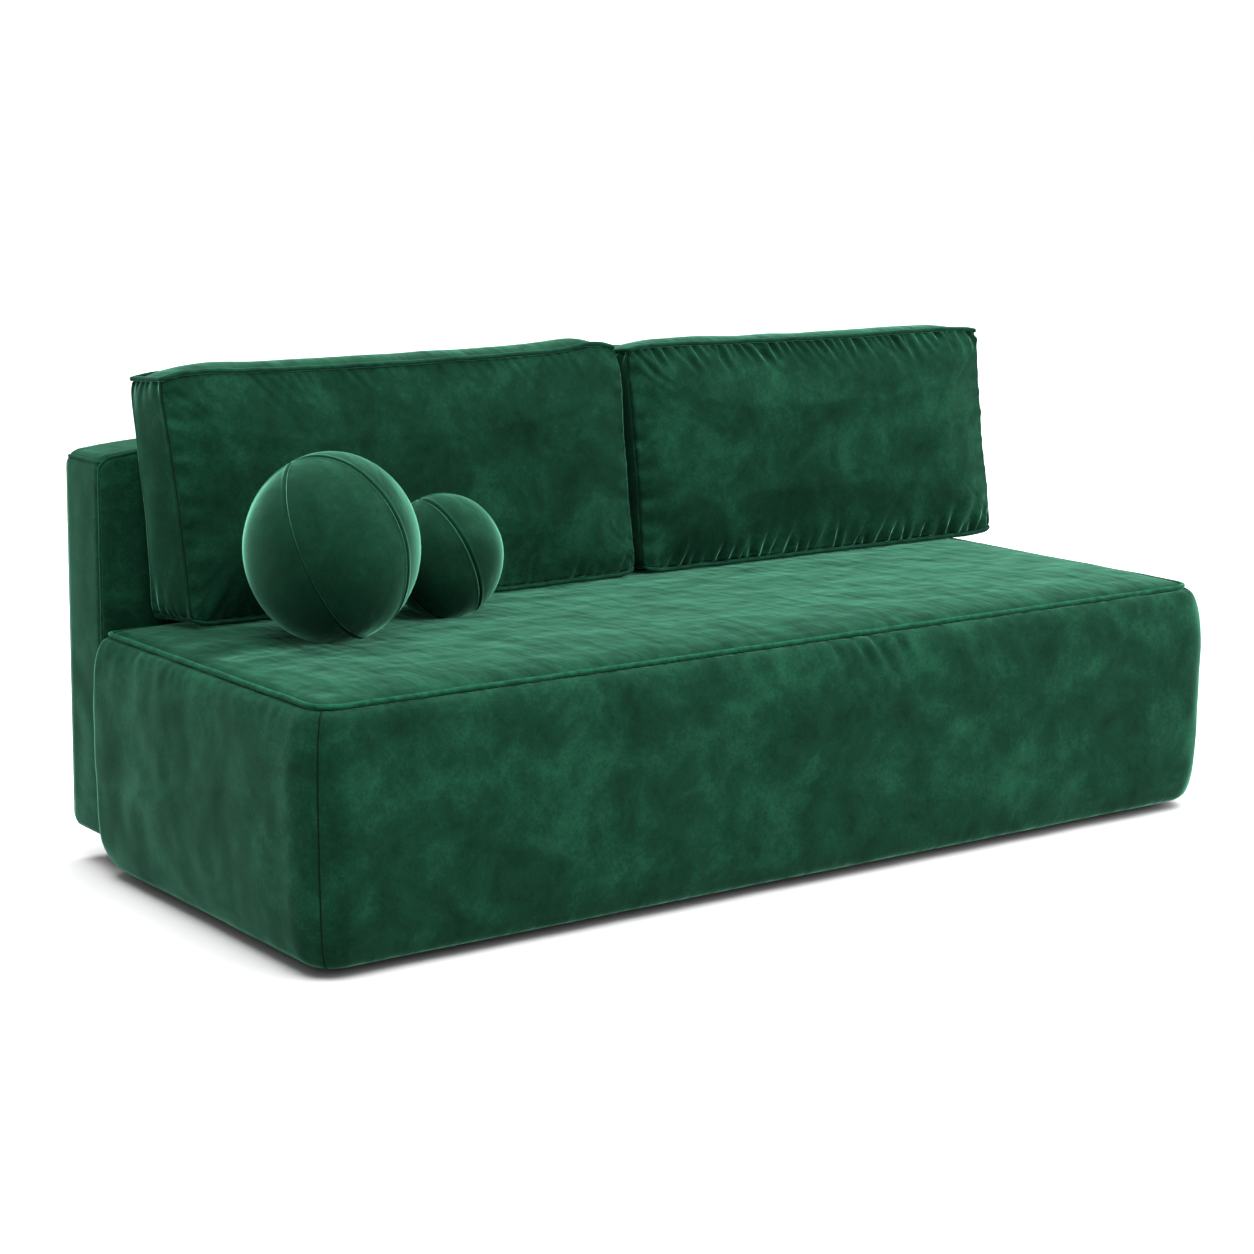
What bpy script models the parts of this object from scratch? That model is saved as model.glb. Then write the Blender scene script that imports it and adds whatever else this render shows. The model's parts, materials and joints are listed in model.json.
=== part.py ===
"""Armless sofa bed: a seat that rolls forward, a back slab that folds into its place, loose cushions.

Metres, +Z up, -Y is the front. The origin lies on the floor under the middle of the sofa.
"""

import math

import bmesh
import bpy
from mathutils import Matrix, Vector
from mathutils.bvhtree import BVHTree
from mathutils.geometry import tessellate_polygon

# Fits
GAP = 0.0003  # between pieces that touch
RUNNING_GAP = 0.006  # between the seat and the base under it
FLOOR_Z = 0.0

# Seat block
SOFA_WIDTH = 1.95  # over the piping
SEAT_DEPTH = 0.78  # front piping to the face of the back
SEAT_TOP = 0.446  # top of the piping
SEAT_UNDERSIDE = 0.014  # lowest edge of the skirts
SEAT_REAR_GAP = 0.003  # seat to back
SEAT_CORNER = 0.05  # plan radius of the two front corners
SEAT_CROWN = 0.016  # middle of the top pad above the piping
PIPING_RADIUS = 0.005
PIPING_REAR_CORNER = 0.018
SKIRT_PAD = 0.035  # piping line to the boards
SKIRT_BULGE = 0.030  # the skirts swell out this far past the piping
SKIRT_TUCK = 0.030  # and turn in this far under the seat
SKIRT_FULLEST = 0.56  # share of the skirt's height at which it is widest
SKIRT_END_ROUND = 0.022  # rounding of the side skirts' rear ends
SKIRT_END_LEAST = 0.002  # least padding at those ends
BOARD = 0.018
BOARD_CHAMFER = 0.0015
RAIL = 0.040
DECK = 0.009
BOARD_UNDERSIDE = 0.030

# Back slab
BACK_THICKNESS = 0.147
BACK_TOP = 0.775
BACK_UNDERSIDE = 0.060
BACK_EDGE_ROUND = 0.015
BACK_CORNER = 0.022
BACK_TOP_CROWN = 0.021
BACK_FACE_CROWN = 0.007
BACK_FRONT_PAD = 0.042
BACK_FRAME = 0.060
BACK_BORDER = 0.018
BACK_RAIL = 0.060

# Back hinge
HINGE_REACH = 0.050  # hinge axis in front of the back's face
HINGE_PLATE = 0.005
HINGE_BRACKET = 0.004
HINGE_PLATE_RADIUS = 0.028
HINGE_BRACKET_RADIUS = 0.025
HINGE_BRACKET_LENGTH = 0.100
HINGE_PIN_RADIUS = 0.006
HINGE_PIN_HEAD_RADIUS = 0.010
HINGE_PIN_HEAD = 0.004
HINGE_SLOT_MARGIN = 0.003
HINGE_CLEARANCE = 0.004  # base sides end this far in front of the hinge axis

# Base and bedding box
BASE_REST_GAP = 0.002  # base top to the folded back
BASE_GUIDE_SPACE = 0.042  # base side to the seat's side board
BASE_FRONT_SPACE = 0.055  # front board to the base, room for the castors
BOX_FLOOR = 0.004
BOX_FLOOR_Z = 0.036
FRONT_RAIL_TOP = 0.250
REAR_RAIL_TOP = 0.200
FOOT_RADIUS = 0.025
FOOT_TAPER = 0.0025
FOOT_TAPER_HEIGHT = 0.004
FOOT_INSET = 0.045
GUIDE_TOP = 0.200
GUIDE_WIDTH = 0.026
GUIDE_HEIGHT = 0.030

# Seat stays
STAY_SETBACK = 0.115  # stay pivot in front of the back's face
STAY_INSET = 0.045  # stay pivot inside the base side
STAY_START = math.radians(18)  # arms off the line across the base, at rest
STAY_WIDTH = 0.026
STAY_THICKNESS = 0.005
STAY_PIN_RADIUS = 0.006
STAY_COLLAR_RADIUS = 0.009
STAY_STUD_PLATE = 0.052
STAY_BRACKET = 0.004
STAY_BRACKET_WIDTH = 0.060
STAY_BRACKET_DROP = 0.040
STAY_TOP_SPACE = 0.020  # base top to the upper arm
STAY_END_GAP = 0.005  # seat to the folded back

# Castors and rollers
CASTOR_RADIUS = 0.020
CASTOR_WIDTH = 0.016
CASTOR_AXLE_RADIUS = 0.004
CASTOR_CHEEK = 0.005
CASTOR_CHEEK_DROP = 0.010  # below the axle
CASTOR_REACH = 0.015  # housing behind the axle
CASTOR_EDGE = 0.0016
CASTOR_HOUSING_TOP = 0.056
CASTOR_SIDE_GAP = 0.001
CASTOR_INSET = 0.110  # castor from the inside of the side board
ROLLER_RADIUS = 0.020
ROLLER_WIDTH = 0.018
ROLLER_AXLE_RADIUS = 0.005
ROLLER_PLATE = 0.003
ROLLER_PLATE_SIZE = 0.044
ROLLER_SETBACK = 0.075  # roller in front of the back's face

# Back cushions
CUSHION_HEIGHT = 0.443
CUSHION_EDGE = 0.120  # border width
CUSHION_FRONT_CROWN = 0.032
CUSHION_REAR_CROWN = 0.004
CUSHION_DRAW_IN = 0.006
CUSHION_CORNER = 0.010  # the rounded corners stand in this far
CUSHION_SIDE_SWELL = 0.006
CUSHION_END_SWELL = 0.010  # of the border's top and bottom
CUSHION_LEAN = math.radians(5.0)
CUSHION_INSET = 0.062  # sofa's left end to the left cushion
CUSHION_SPACE = 0.006  # between the two
LEFT_CUSHION_WIDTH = 0.995
RIGHT_CUSHION_WIDTH = 0.915

# Ball cushions
LARGE_BALL_RADIUS = 0.155
LARGE_BALL_HALF_HEIGHT = 0.168
SMALL_BALL_RADIUS = 0.109
SMALL_BALL_HALF_HEIGHT = 0.116
BALL_INSET = 0.112  # sofa's left end to the large ball
BALL_SPACE = 0.011  # between the two, seen from the front
LARGE_BALL_STAND_OFF = 0.040  # large ball to the cushion behind it
SMALL_BALL_STAND_OFF = 0.003
BALL_FLAT = 0.012  # how far a ball settles at its foot
BALL_SEAM = 0.004
BALL_SEAM_SHARE = 0.4  # of half a gore
BALL_LEAN = math.radians(25)
BALL_LEAN_WAY = math.radians(147)  # towards the rear left
LARGE_BALL_TURN = math.radians(7)
SMALL_BALL_TURN = math.radians(50)
GORES = 5

# Facets
ARC_STEPS = 4
ROUND_SIDES = 20
CUSHION_GRID = (16, 10)
SEAT_GRID = (26, 12)
BALL_RINGS = 14
BALL_SEGMENTS_PER_GORE = 6
BACK_TOP_POINTS = 16
SKIRT_UPPER_STEPS = (1.0, 0.98, 0.92, 0.8, 0.55, 0.2)
SKIRT_LOWER_STEPS = (0.3, 0.65, 0.82, 0.92, 0.98, 1.0)
BACK_CROWN_STEPS = ((0.05, 0.55), (0.11, 0.15), (0.2, 0.0))  # inset, share of the crown still to rise
SETTLE_ROUNDS = 4
EDGE_SAMPLES = 8  # points tried along each edge when a cushion settles

# Places that follow from the sizes above
HALF_WIDTH = SOFA_WIDTH / 2
BACK_REAR_Y = (BACK_THICKNESS + SEAT_DEPTH + SKIRT_BULGE) / 2
BACK_FRONT_Y = BACK_REAR_Y - BACK_THICKNESS
SEAT_FRONT_Y = BACK_FRONT_Y - SEAT_DEPTH
SEAT_REAR_Y = BACK_FRONT_Y - SEAT_REAR_GAP
HINGE_Y = BACK_FRONT_Y - HINGE_REACH
HINGE_Z = SEAT_TOP - BACK_THICKNESS - HINGE_REACH
BASE_TOP = HINGE_Z + HINGE_REACH - BASE_REST_GAP
FRAME_Z = BASE_TOP + RUNNING_GAP
FRAME_TOP = FRAME_Z + RAIL
PIPING_Z = SEAT_TOP - PIPING_RADIUS
SKIRT_TOP = SEAT_TOP - 2 * PIPING_RADIUS - GAP
SKIRT_INNER_X = HALF_WIDTH - SKIRT_PAD
SKIRT_INNER_Y = SEAT_FRONT_Y + SKIRT_PAD
SKIRT_INNER_CORNER = max(SEAT_CORNER - SKIRT_PAD, 0.0) + GAP
BOARD_INNER_X = SKIRT_INNER_X - GAP - BOARD
BOARD_INNER_Y = SKIRT_INNER_Y + GAP + BOARD
BASE_OUTER_X = BOARD_INNER_X - BASE_GUIDE_SPACE
BASE_INNER_X = BASE_OUTER_X - BOARD
BASE_FRONT_Y = BOARD_INNER_Y + BASE_FRONT_SPACE
BASE_REAR_Y = BACK_FRONT_Y - GAP
BASE_UNDERSIDE = BOX_FLOOR_Z + BOX_FLOOR + GAP
HINGE_BRACKET_X = BASE_INNER_X - GAP - HINGE_BRACKET
HINGE_PLATE_X = HINGE_BRACKET_X - GAP - HINGE_PLATE
STILE_INNER_X = HINGE_PLATE_X + HINGE_PLATE + GAP
BACK_FRAME_Y = BACK_FRONT_Y + BACK_FRONT_PAD + GAP
BACK_PAD_REAR_Y = BACK_FRAME_Y + BACK_FRAME + GAP
BACK_FRAME_X = HALF_WIDTH - BACK_BORDER - GAP
BACK_FRAME_TOP = BACK_TOP - BACK_TOP_CROWN - BACK_BORDER - GAP
BACK_FRAME_BOTTOM = BACK_UNDERSIDE + BACK_BORDER + GAP
STAY_X = BASE_INNER_X - STAY_INSET
STAY_Y = BACK_FRONT_Y - STAY_SETBACK
SEAT_TRAVEL = BACK_TOP - HINGE_Z + HINGE_REACH - SEAT_REAR_GAP + STAY_END_GAP
STAY_ARM = SEAT_TRAVEL / (2 * (1 - math.sin(STAY_START)))
KNEE_X = STAY_X - STAY_ARM * math.cos(STAY_START)
KNEE_Y = STAY_Y - STAY_ARM * math.sin(STAY_START)
STUD_Y = STAY_Y - 2 * STAY_ARM * math.sin(STAY_START)
UPPER_ARM_Z = BASE_TOP - STAY_TOP_SPACE - STAY_THICKNESS
LOWER_ARM_Z = UPPER_ARM_Z - GAP - STAY_THICKNESS
STAY_SHELF_Z = LOWER_ARM_Z - GAP - STAY_BRACKET
ROLLER_Y = BACK_FRONT_Y - ROLLER_SETBACK
ROLLER_Z = GUIDE_TOP + GAP + ROLLER_RADIUS
ROLLER_X = BASE_OUTER_X + GAP + GUIDE_WIDTH / 2
CASTOR_X = BOARD_INNER_X - CASTOR_INSET
CASTOR_Y = BOARD_INNER_Y + GAP + CASTOR_RADIUS + CASTOR_SIDE_GAP
LEFT_CUSHION_X = -HALF_WIDTH + CUSHION_INSET + LEFT_CUSHION_WIDTH / 2
RIGHT_CUSHION_X = LEFT_CUSHION_X + (LEFT_CUSHION_WIDTH + RIGHT_CUSHION_WIDTH) / 2 + CUSHION_SPACE
LARGE_BALL_X = -HALF_WIDTH + BALL_INSET + LARGE_BALL_RADIUS
SMALL_BALL_X = LARGE_BALL_X + LARGE_BALL_RADIUS + BALL_SPACE + SMALL_BALL_RADIUS
SIDES = {"left": -1, "right": 1}
DOWN = Vector((0.0, 0.0, -1.0))
REARWARD = Vector((0.0, 1.0, 0.0))


def clear_scene():
    for item in list(bpy.data.objects):
        bpy.data.objects.remove(item, do_unlink=True)


def finish(name, hex_colour, roughness, metallic=0.0):
    """A plain material for a family of pieces."""
    material = bpy.data.materials.new(name)
    material.use_nodes = True
    shader = material.node_tree.nodes["Principled BSDF"]
    channels = [int(hex_colour[i : i + 2], 16) / 255 for i in (0, 2, 4)]
    linear = [((c + 0.055) / 1.055) ** 2.4 if c > 0.04045 else c / 12.92 for c in channels]
    shader.inputs["Base Color"].default_value = (*linear, 1.0)
    shader.inputs["Roughness"].default_value = roughness
    shader.inputs["Metallic"].default_value = metallic
    return material


def pivot(name, place, parent=None):
    """An empty on a joint's axis, which carries the pieces of one moving body."""
    empty = bpy.data.objects.new(name, None)
    bpy.context.scene.collection.objects.link(empty)
    empty["place"] = place
    empty.parent = parent
    origin = Vector(parent["place"]) if parent else Vector()
    empty.location = Vector(place) - origin
    return empty


def piece(name, mesh, material, carrier):
    """One object from a bmesh in world coordinates, carried by an empty."""
    origin = Vector(carrier["place"])
    bmesh.ops.translate(mesh, verts=mesh.verts, vec=-origin)
    bmesh.ops.recalc_face_normals(mesh, faces=mesh.faces)
    data = bpy.data.meshes.new(name)
    mesh.to_mesh(data)
    mesh.free()
    data.materials.append(material)
    made = bpy.data.objects.new(name, data)
    bpy.context.scene.collection.objects.link(made)
    made.parent = carrier
    return made


def helper(made):
    """Marks an object as a cutter or an added lump, which isn't a piece of its own."""
    made.hide_render = True
    made.display_type = "WIRE"
    return made


def combine(target, other, operation):
    step = target.modifiers.new(other.name, "BOOLEAN")
    step.operation = operation
    step.object = helper(other)


def smooth(made, angle=math.radians(40)):
    made.data.shade_smooth()
    made.data.set_sharp_from_angle(angle=angle)
    return made


def box(low, high, chamfer=0.0):
    mesh = bmesh.new()
    bmesh.ops.create_cube(mesh, size=1.0)
    for vertex in mesh.verts:
        vertex.co = Vector(high[i] if vertex.co[i] > 0 else low[i] for i in range(3))
    if chamfer:
        bmesh.ops.bevel(mesh, geom=mesh.edges, offset=chamfer, segments=1, affect="EDGES")
    return mesh


def side_span(sign, inner, outer):
    """The x range of a piece between two distances from the middle, on one side."""
    return sorted((sign * inner, sign * outer))


def plate(outline, holes, axis, low, high):
    """A flat outline with holes, extruded along an axis. Its 2-D points run along the other two axes."""
    loops = [list(outline)] + [list(hole) for hole in holes]
    flat = [Vector((a, b, 0)) for loop in loops for a, b in loop]
    faces = tessellate_polygon([[Vector((a, b, 0)) for a, b in loop] for loop in loops])
    order = [i for i in range(3) if i != axis]
    mesh = bmesh.new()
    levels = []
    for level in (low, high):
        verts = []
        for point in flat:
            place = [0.0, 0.0, 0.0]
            place[axis] = level
            place[order[0]], place[order[1]] = point[0], point[1]
            verts.append(mesh.verts.new(place))
        levels.append(verts)
        for face in faces:
            mesh.faces.new([verts[i] for i in face])
    start = 0
    for loop in loops:
        count = len(loop)
        for i in range(count):
            a, b = start + i, start + (i + 1) % count
            mesh.faces.new((levels[0][a], levels[0][b], levels[1][b], levels[1][a]))
        start += count
    return mesh


def circle(centre, radius, sides=ROUND_SIDES):
    turns = [2 * math.pi * i / sides for i in range(sides)]
    return [(centre[0] + radius * math.cos(t), centre[1] + radius * math.sin(t)) for t in turns]


def arc(centre, radius, start, end, steps):
    turns = [math.radians(start + (end - start) * i / steps) for i in range(steps + 1)]
    return [(centre[0] + radius * math.cos(t), centre[1] + radius * math.sin(t)) for t in turns]


def slot_outline(first, second, radius):
    """A bar with round ends about two points."""
    way = math.degrees(math.atan2(second[1] - first[1], second[0] - first[0]))
    steps = ROUND_SIDES // 2
    near = arc(first, radius, way + 90, way + 270, steps)
    return near + arc(second, radius, way - 90, way + 90, steps)


def rods(stations, axis, through, sides=ROUND_SIDES):
    """A turned solid about an axis: stations are (place along it, radius), capped at both ends."""
    mesh = bmesh.new()
    order = [i for i in range(3) if i != axis]
    rings = []
    for along, radius in stations:
        ring = []
        for a, b in circle((through[order[0]], through[order[1]]), radius, sides):
            place = [0.0, 0.0, 0.0]
            place[axis] = along
            place[order[0]], place[order[1]] = a, b
            ring.append(mesh.verts.new(place))
        rings.append(ring)
    return skin(mesh, rings)


def skin(mesh, rings):
    """Quads between rings of equal count, and a cap on the first and last."""
    count = len(rings[0])
    for lower, upper in zip(rings, rings[1:]):
        for i in range(count):
            j = (i + 1) % count
            mesh.faces.new((lower[i], lower[j], upper[j], upper[i]))
    mesh.faces.new(rings[0])
    mesh.faces.new(rings[-1])
    return mesh


def loft(rings):
    mesh = bmesh.new()
    return skin(mesh, [[mesh.verts.new(point) for point in ring] for ring in rings])


def seat_crown(x, y):
    """Height of the seat's top pad: it rises fast from the piping, then lies nearly flat."""
    u = abs(x) / HALF_WIDTH
    v = abs(2 * (y - SEAT_FRONT_Y) / SEAT_DEPTH - 1)
    return SEAT_TOP + SEAT_CROWN * max(0.0, (1 - u**16) * (1 - v**6))


def skirt_profile():
    """Outer line of a skirt, top to bottom, as (offset out from the piping line, z)."""
    fullest = SEAT_UNDERSIDE + SKIRT_FULLEST * (SKIRT_TOP - SEAT_UNDERSIDE)
    points = []
    for t in SKIRT_UPPER_STEPS:
        swell = (1 - t**3) ** (1 / 3)
        out = -PIPING_RADIUS + (SKIRT_BULGE + PIPING_RADIUS) * swell
        points.append((out, fullest + t * (SKIRT_TOP - fullest)))
    for t in SKIRT_LOWER_STEPS:
        swell = (1 - t**4) ** (1 / 4)
        out = -SKIRT_TUCK + (SKIRT_BULGE + SKIRT_TUCK) * swell
        points.append((out, fullest - t * (fullest - SEAT_UNDERSIDE)))
    return points


def corner_stations(sign, start, end):
    """Stations (x, y, outward x, outward y) on a front corner, from one angle in degrees to the other.

    Angle 0 faces the side and 90 faces the front.
    """
    centre_x = sign * (HALF_WIDTH - SEAT_CORNER)
    centre_y = SEAT_FRONT_Y + SEAT_CORNER
    stations = []
    for i in range(ARC_STEPS + 1):
        turn = math.radians(start + (end - start) * i / ARC_STEPS)
        out_x, out_y = sign * math.cos(turn), -math.sin(turn)
        stations.append((centre_x + SEAT_CORNER * out_x, centre_y + SEAT_CORNER * out_y, out_x, out_y))
    return stations


def mitre(stations, end):
    """Moves an end station back along the path by half a gap, so that mitred skirts don't touch."""
    x, y, out_x, out_y = stations[end]
    near = stations[1 if end == 0 else -2]
    along = Vector((near[0] - x, near[1] - y)).normalized() * GAP / 2
    stations[end] = (x + along[0], y + along[1], out_x, out_y)
    return stations


def round_off(past, radius):
    """How far a rounded corner has turned in, at a distance past the start of its arc."""
    past = min(radius, max(0.0, past))
    return radius - math.sqrt(radius**2 - past**2)


def skirt(stations, rear_y=None):
    """A padded skirt along its stations. Near rear_y its face rounds back towards the boards."""
    rings = []
    for x, y, out_x, out_y in stations:
        pull = 0.0 if rear_y is None else round_off(y - (rear_y - SKIRT_END_ROUND), SKIRT_END_ROUND)
        outer = []
        for offset, z in skirt_profile():
            offset = max(offset - pull, -SKIRT_PAD + SKIRT_END_LEAST)
            outer.append((x + out_x * offset, y + out_y * offset, z))
        inner_x, inner_y = x - out_x * SKIRT_PAD, y - out_y * SKIRT_PAD
        inner = [(inner_x, inner_y, SEAT_UNDERSIDE), (inner_x, inner_y, SKIRT_TOP)]
        rings.append(outer + inner)
    return loft(rings)


def spread(start, end, count):
    return [start + (end - start) * i / (count - 1) for i in range(count)]


def make_skirts(carrier, velvet):
    front = corner_stations(-1, 45, 90)
    straight_end = HALF_WIDTH - SEAT_CORNER
    front += [(x, SEAT_FRONT_Y, 0.0, -1.0) for x in spread(-straight_end, straight_end, 10)[1:-1]]
    front += corner_stations(1, 90, 45)
    smooth(piece("front_skirt", skirt(mitre(mitre(front, 0), -1)), velvet, carrier))
    for side, sign in SIDES.items():
        stations = corner_stations(sign, 45, 0)
        straight = spread(SEAT_FRONT_Y + SEAT_CORNER, SEAT_REAR_Y - SKIRT_END_ROUND, 6)[1:]
        ends = [SEAT_REAR_Y - SKIRT_END_ROUND * share for share in (0.5, 0.2, 0.0)]
        stations += [(sign * HALF_WIDTH, y, float(sign), 0.0) for y in straight + ends]
        mesh = skirt(mitre(stations, 0), SEAT_REAR_Y)
        smooth(piece(f"{side}_skirt", mesh, velvet, carrier))


def rounded_rectangle(low_x, high_x, low_y, high_y, front_radius, rear_radius):
    """Plan outline with one radius on the front corners and another on the rear ones."""
    steps = ARC_STEPS + 2
    points = arc((low_x + front_radius, low_y + front_radius), front_radius, 180, 270, steps)
    points += arc((high_x - front_radius, low_y + front_radius), front_radius, 270, 360, steps)
    points += arc((high_x - rear_radius, high_y - rear_radius), rear_radius, 0, 90, steps)
    points += arc((low_x + rear_radius, high_y - rear_radius), rear_radius, 90, 180, steps)
    return points


def make_piping(carrier, velvet):
    inset = PIPING_RADIUS
    outline = rounded_rectangle(
        -HALF_WIDTH + inset,
        HALF_WIDTH - inset,
        SEAT_FRONT_Y + inset,
        SEAT_REAR_Y - inset,
        SEAT_CORNER - inset,
        PIPING_REAR_CORNER,
    )
    curve = bpy.data.curves.new("seat_piping", "CURVE")
    curve.dimensions = "3D"
    curve.bevel_depth = PIPING_RADIUS
    curve.bevel_resolution = 1
    curve.resolution_u = 1
    spline = curve.splines.new("POLY")
    spline.points.add(len(outline) - 1)
    spline.use_cyclic_u = True
    origin = Vector(carrier["place"])
    for point, (x, y) in zip(spline.points, outline):
        point.co = (x - origin[0], y - origin[1], PIPING_Z - origin[2], 1.0)
    curve.materials.append(velvet)
    made = bpy.data.objects.new("seat_piping", curve)
    bpy.context.scene.collection.objects.link(made)
    made.parent = carrier


def make_top_pad(carrier, velvet):
    """The crowned top panel inside the piping, on a flat underside."""
    inset = 2 * PIPING_RADIUS + 2 * GAP
    across, along = SEAT_GRID
    low_x, high_x = -HALF_WIDTH + inset, HALF_WIDTH - inset
    low_y, high_y = SEAT_FRONT_Y + inset, SEAT_REAR_Y - inset
    front_corner = SEAT_CORNER - inset
    rear_corner = PIPING_REAR_CORNER + PIPING_RADIUS - inset

    def ease(share):
        return 0.5 - 0.5 * math.cos(math.pi * share)

    def place(i, j):
        y = low_y + (high_y - low_y) * ease(j / along)
        trim = round_off(low_y + front_corner - y, front_corner)
        trim += round_off(y - (high_y - rear_corner), rear_corner)
        x = low_x + trim + (high_x - low_x - 2 * trim) * ease(i / across)
        return x, y

    mesh = bmesh.new()
    top, bottom = {}, {}
    for i in range(across + 1):
        for j in range(along + 1):
            x, y = place(i, j)
            rim = PIPING_Z if i in (0, across) or j in (0, along) else seat_crown(x, y)
            top[i, j] = mesh.verts.new((x, y, rim))
            if i in (0, across) or j in (0, along):
                bottom[i, j] = mesh.verts.new((x, y, SKIRT_TOP + GAP))
    for i in range(across):
        for j in range(along):
            mesh.faces.new((top[i, j], top[i + 1, j], top[i + 1, j + 1], top[i, j + 1]))
    loop = [(i, 0) for i in range(across)] + [(across, j) for j in range(along)]
    loop += [(i, along) for i in range(across, 0, -1)] + [(0, j) for j in range(along, 0, -1)]
    for here, after in zip(loop, loop[1:] + loop[:1]):
        mesh.faces.new((bottom[here], bottom[after], top[after], top[here]))
    mesh.faces.new([bottom[key] for key in loop])
    return smooth(piece("seat_top_pad", mesh, velvet, carrier))


def make_seat_frame(carrier, timber, plywood, foam):
    front_board_x = SKIRT_INNER_X - SKIRT_INNER_CORNER
    low = (-front_board_x, SKIRT_INNER_Y + GAP, BOARD_UNDERSIDE)
    high = (front_board_x, BOARD_INNER_Y, FRAME_TOP)
    piece("front_board", box(low, high, BOARD_CHAMFER), plywood, carrier)
    for side, sign in SIDES.items():
        x0, x1 = side_span(sign, BOARD_INNER_X, SKIRT_INNER_X - GAP)
        low = (x0, BOARD_INNER_Y + GAP, BOARD_UNDERSIDE)
        high = (x1, SEAT_REAR_Y, FRAME_TOP)
        piece(f"{side}_board", box(low, high, BOARD_CHAMFER), plywood, carrier)
        x0, x1 = side_span(sign, BOARD_INNER_X - GAP - RAIL, BOARD_INNER_X - GAP)
        low = (x0, BOARD_INNER_Y + GAP, FRAME_Z)
        high = (x1, SEAT_REAR_Y, FRAME_TOP)
        piece(f"seat_{side}_rail", box(low, high, BOARD_CHAMFER), timber, carrier)
    rail_end = BOARD_INNER_X - 2 * GAP - RAIL
    for name, middle in (("seat_rear_rail", SEAT_REAR_Y - RAIL / 2), ("seat_cross_rail", STUD_Y)):
        low = (-rail_end, middle - RAIL / 2, FRAME_Z)
        high = (rail_end, middle + RAIL / 2, FRAME_TOP)
        piece(name, box(low, high, BOARD_CHAMFER), timber, carrier)
    inner_x = SKIRT_INNER_X - GAP
    inner_y = SKIRT_INNER_Y + GAP
    outline = rounded_rectangle(-inner_x, inner_x, inner_y, SEAT_REAR_Y, SKIRT_INNER_CORNER, GAP)
    deck_z = FRAME_TOP + GAP
    foam_z = deck_z + DECK + GAP
    piece("seat_deck", plate(outline, [], 2, deck_z, deck_z + DECK), plywood, carrier)
    piece("seat_foam", plate(outline, [], 2, foam_z, SKIRT_TOP), foam, carrier)


def make_castors(carrier, plastic):
    """A housing behind each front corner, with a wheel whose axle turns in its cheeks."""
    half_wheel = CASTOR_WIDTH / 2
    cheek_in = half_wheel + CASTOR_SIDE_GAP
    cheek_out = cheek_in + CASTOR_CHEEK
    axle_z = FLOOR_Z + CASTOR_RADIUS
    cheek_low = axle_z - CASTOR_CHEEK_DROP
    roof = axle_z + CASTOR_RADIUS + 2 * CASTOR_SIDE_GAP
    housing_front = BOARD_INNER_Y + GAP
    for side, sign in SIDES.items():
        x = sign * CASTOR_X
        outline = [
            (x - cheek_out, cheek_low),
            (x - cheek_in, cheek_low),
            (x - cheek_in, roof),
            (x + cheek_in, roof),
            (x + cheek_in, cheek_low),
            (x + cheek_out, cheek_low),
            (x + cheek_out, CASTOR_HOUSING_TOP),
            (x - cheek_out, CASTOR_HOUSING_TOP),
        ]
        block = plate(outline, [], 1, housing_front, CASTOR_Y + CASTOR_REACH)
        housing = piece(f"{side}_castor_housing", block, plastic, carrier)
        bore_ends = (x - 2 * cheek_out, x + 2 * cheek_out)
        bore = rods([(end, CASTOR_AXLE_RADIUS + GAP) for end in bore_ends], 0, (x, CASTOR_Y, axle_z))
        combine(housing, piece(f"{side}_castor_bore", bore, plastic, carrier), "DIFFERENCE")
        hub = pivot(f"{side}_castor_hub", (x, CASTOR_Y, axle_z), carrier)
        stations = [
            (x - cheek_out, CASTOR_AXLE_RADIUS),
            (x - half_wheel, CASTOR_AXLE_RADIUS),
            (x - half_wheel, CASTOR_RADIUS - CASTOR_EDGE),
            (x - half_wheel + CASTOR_EDGE, CASTOR_RADIUS),
            (x + half_wheel - CASTOR_EDGE, CASTOR_RADIUS),
            (x + half_wheel, CASTOR_RADIUS - CASTOR_EDGE),
            (x + half_wheel, CASTOR_AXLE_RADIUS),
            (x + cheek_out, CASTOR_AXLE_RADIUS),
        ]
        wheel = rods(stations, 0, (x, CASTOR_Y, axle_z))
        smooth(piece(f"{side}_castor_wheel", wheel, plastic, hub))


def make_rollers(carrier, steel, plastic):
    """A roller on a stub axle on each side board, which runs on the base's guide rail."""
    for side, sign in SIDES.items():
        x0, x1 = side_span(sign, BOARD_INNER_X - GAP - ROLLER_PLATE, BOARD_INNER_X - GAP)
        half = ROLLER_PLATE_SIZE / 2
        low = (x0, ROLLER_Y - half, ROLLER_Z - half)
        high = (x1, ROLLER_Y + half, ROLLER_Z + half)
        bracket = piece(f"{side}_roller_bracket", box(low, high), steel, carrier)
        inner = ROLLER_X - ROLLER_WIDTH / 2
        stub_ends = side_span(sign, inner, BOARD_INNER_X - GAP - ROLLER_PLATE / 2)
        through = (0, ROLLER_Y, ROLLER_Z)
        stub = rods([(x, ROLLER_AXLE_RADIUS) for x in stub_ends], 0, through)
        combine(bracket, piece(f"{side}_roller_stub", stub, steel, carrier), "UNION")
        hub = pivot(f"{side}_roller_hub", (sign * ROLLER_X, ROLLER_Y, ROLLER_Z), carrier)
        centre = (ROLLER_Y, ROLLER_Z)
        low_x, high_x = side_span(sign, inner, inner + ROLLER_WIDTH)
        bore = circle(centre, ROLLER_AXLE_RADIUS + GAP)
        ring = plate(circle(centre, ROLLER_RADIUS), [bore], 0, low_x, high_x)
        smooth(piece(f"{side}_roller", ring, plastic, hub))


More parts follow.
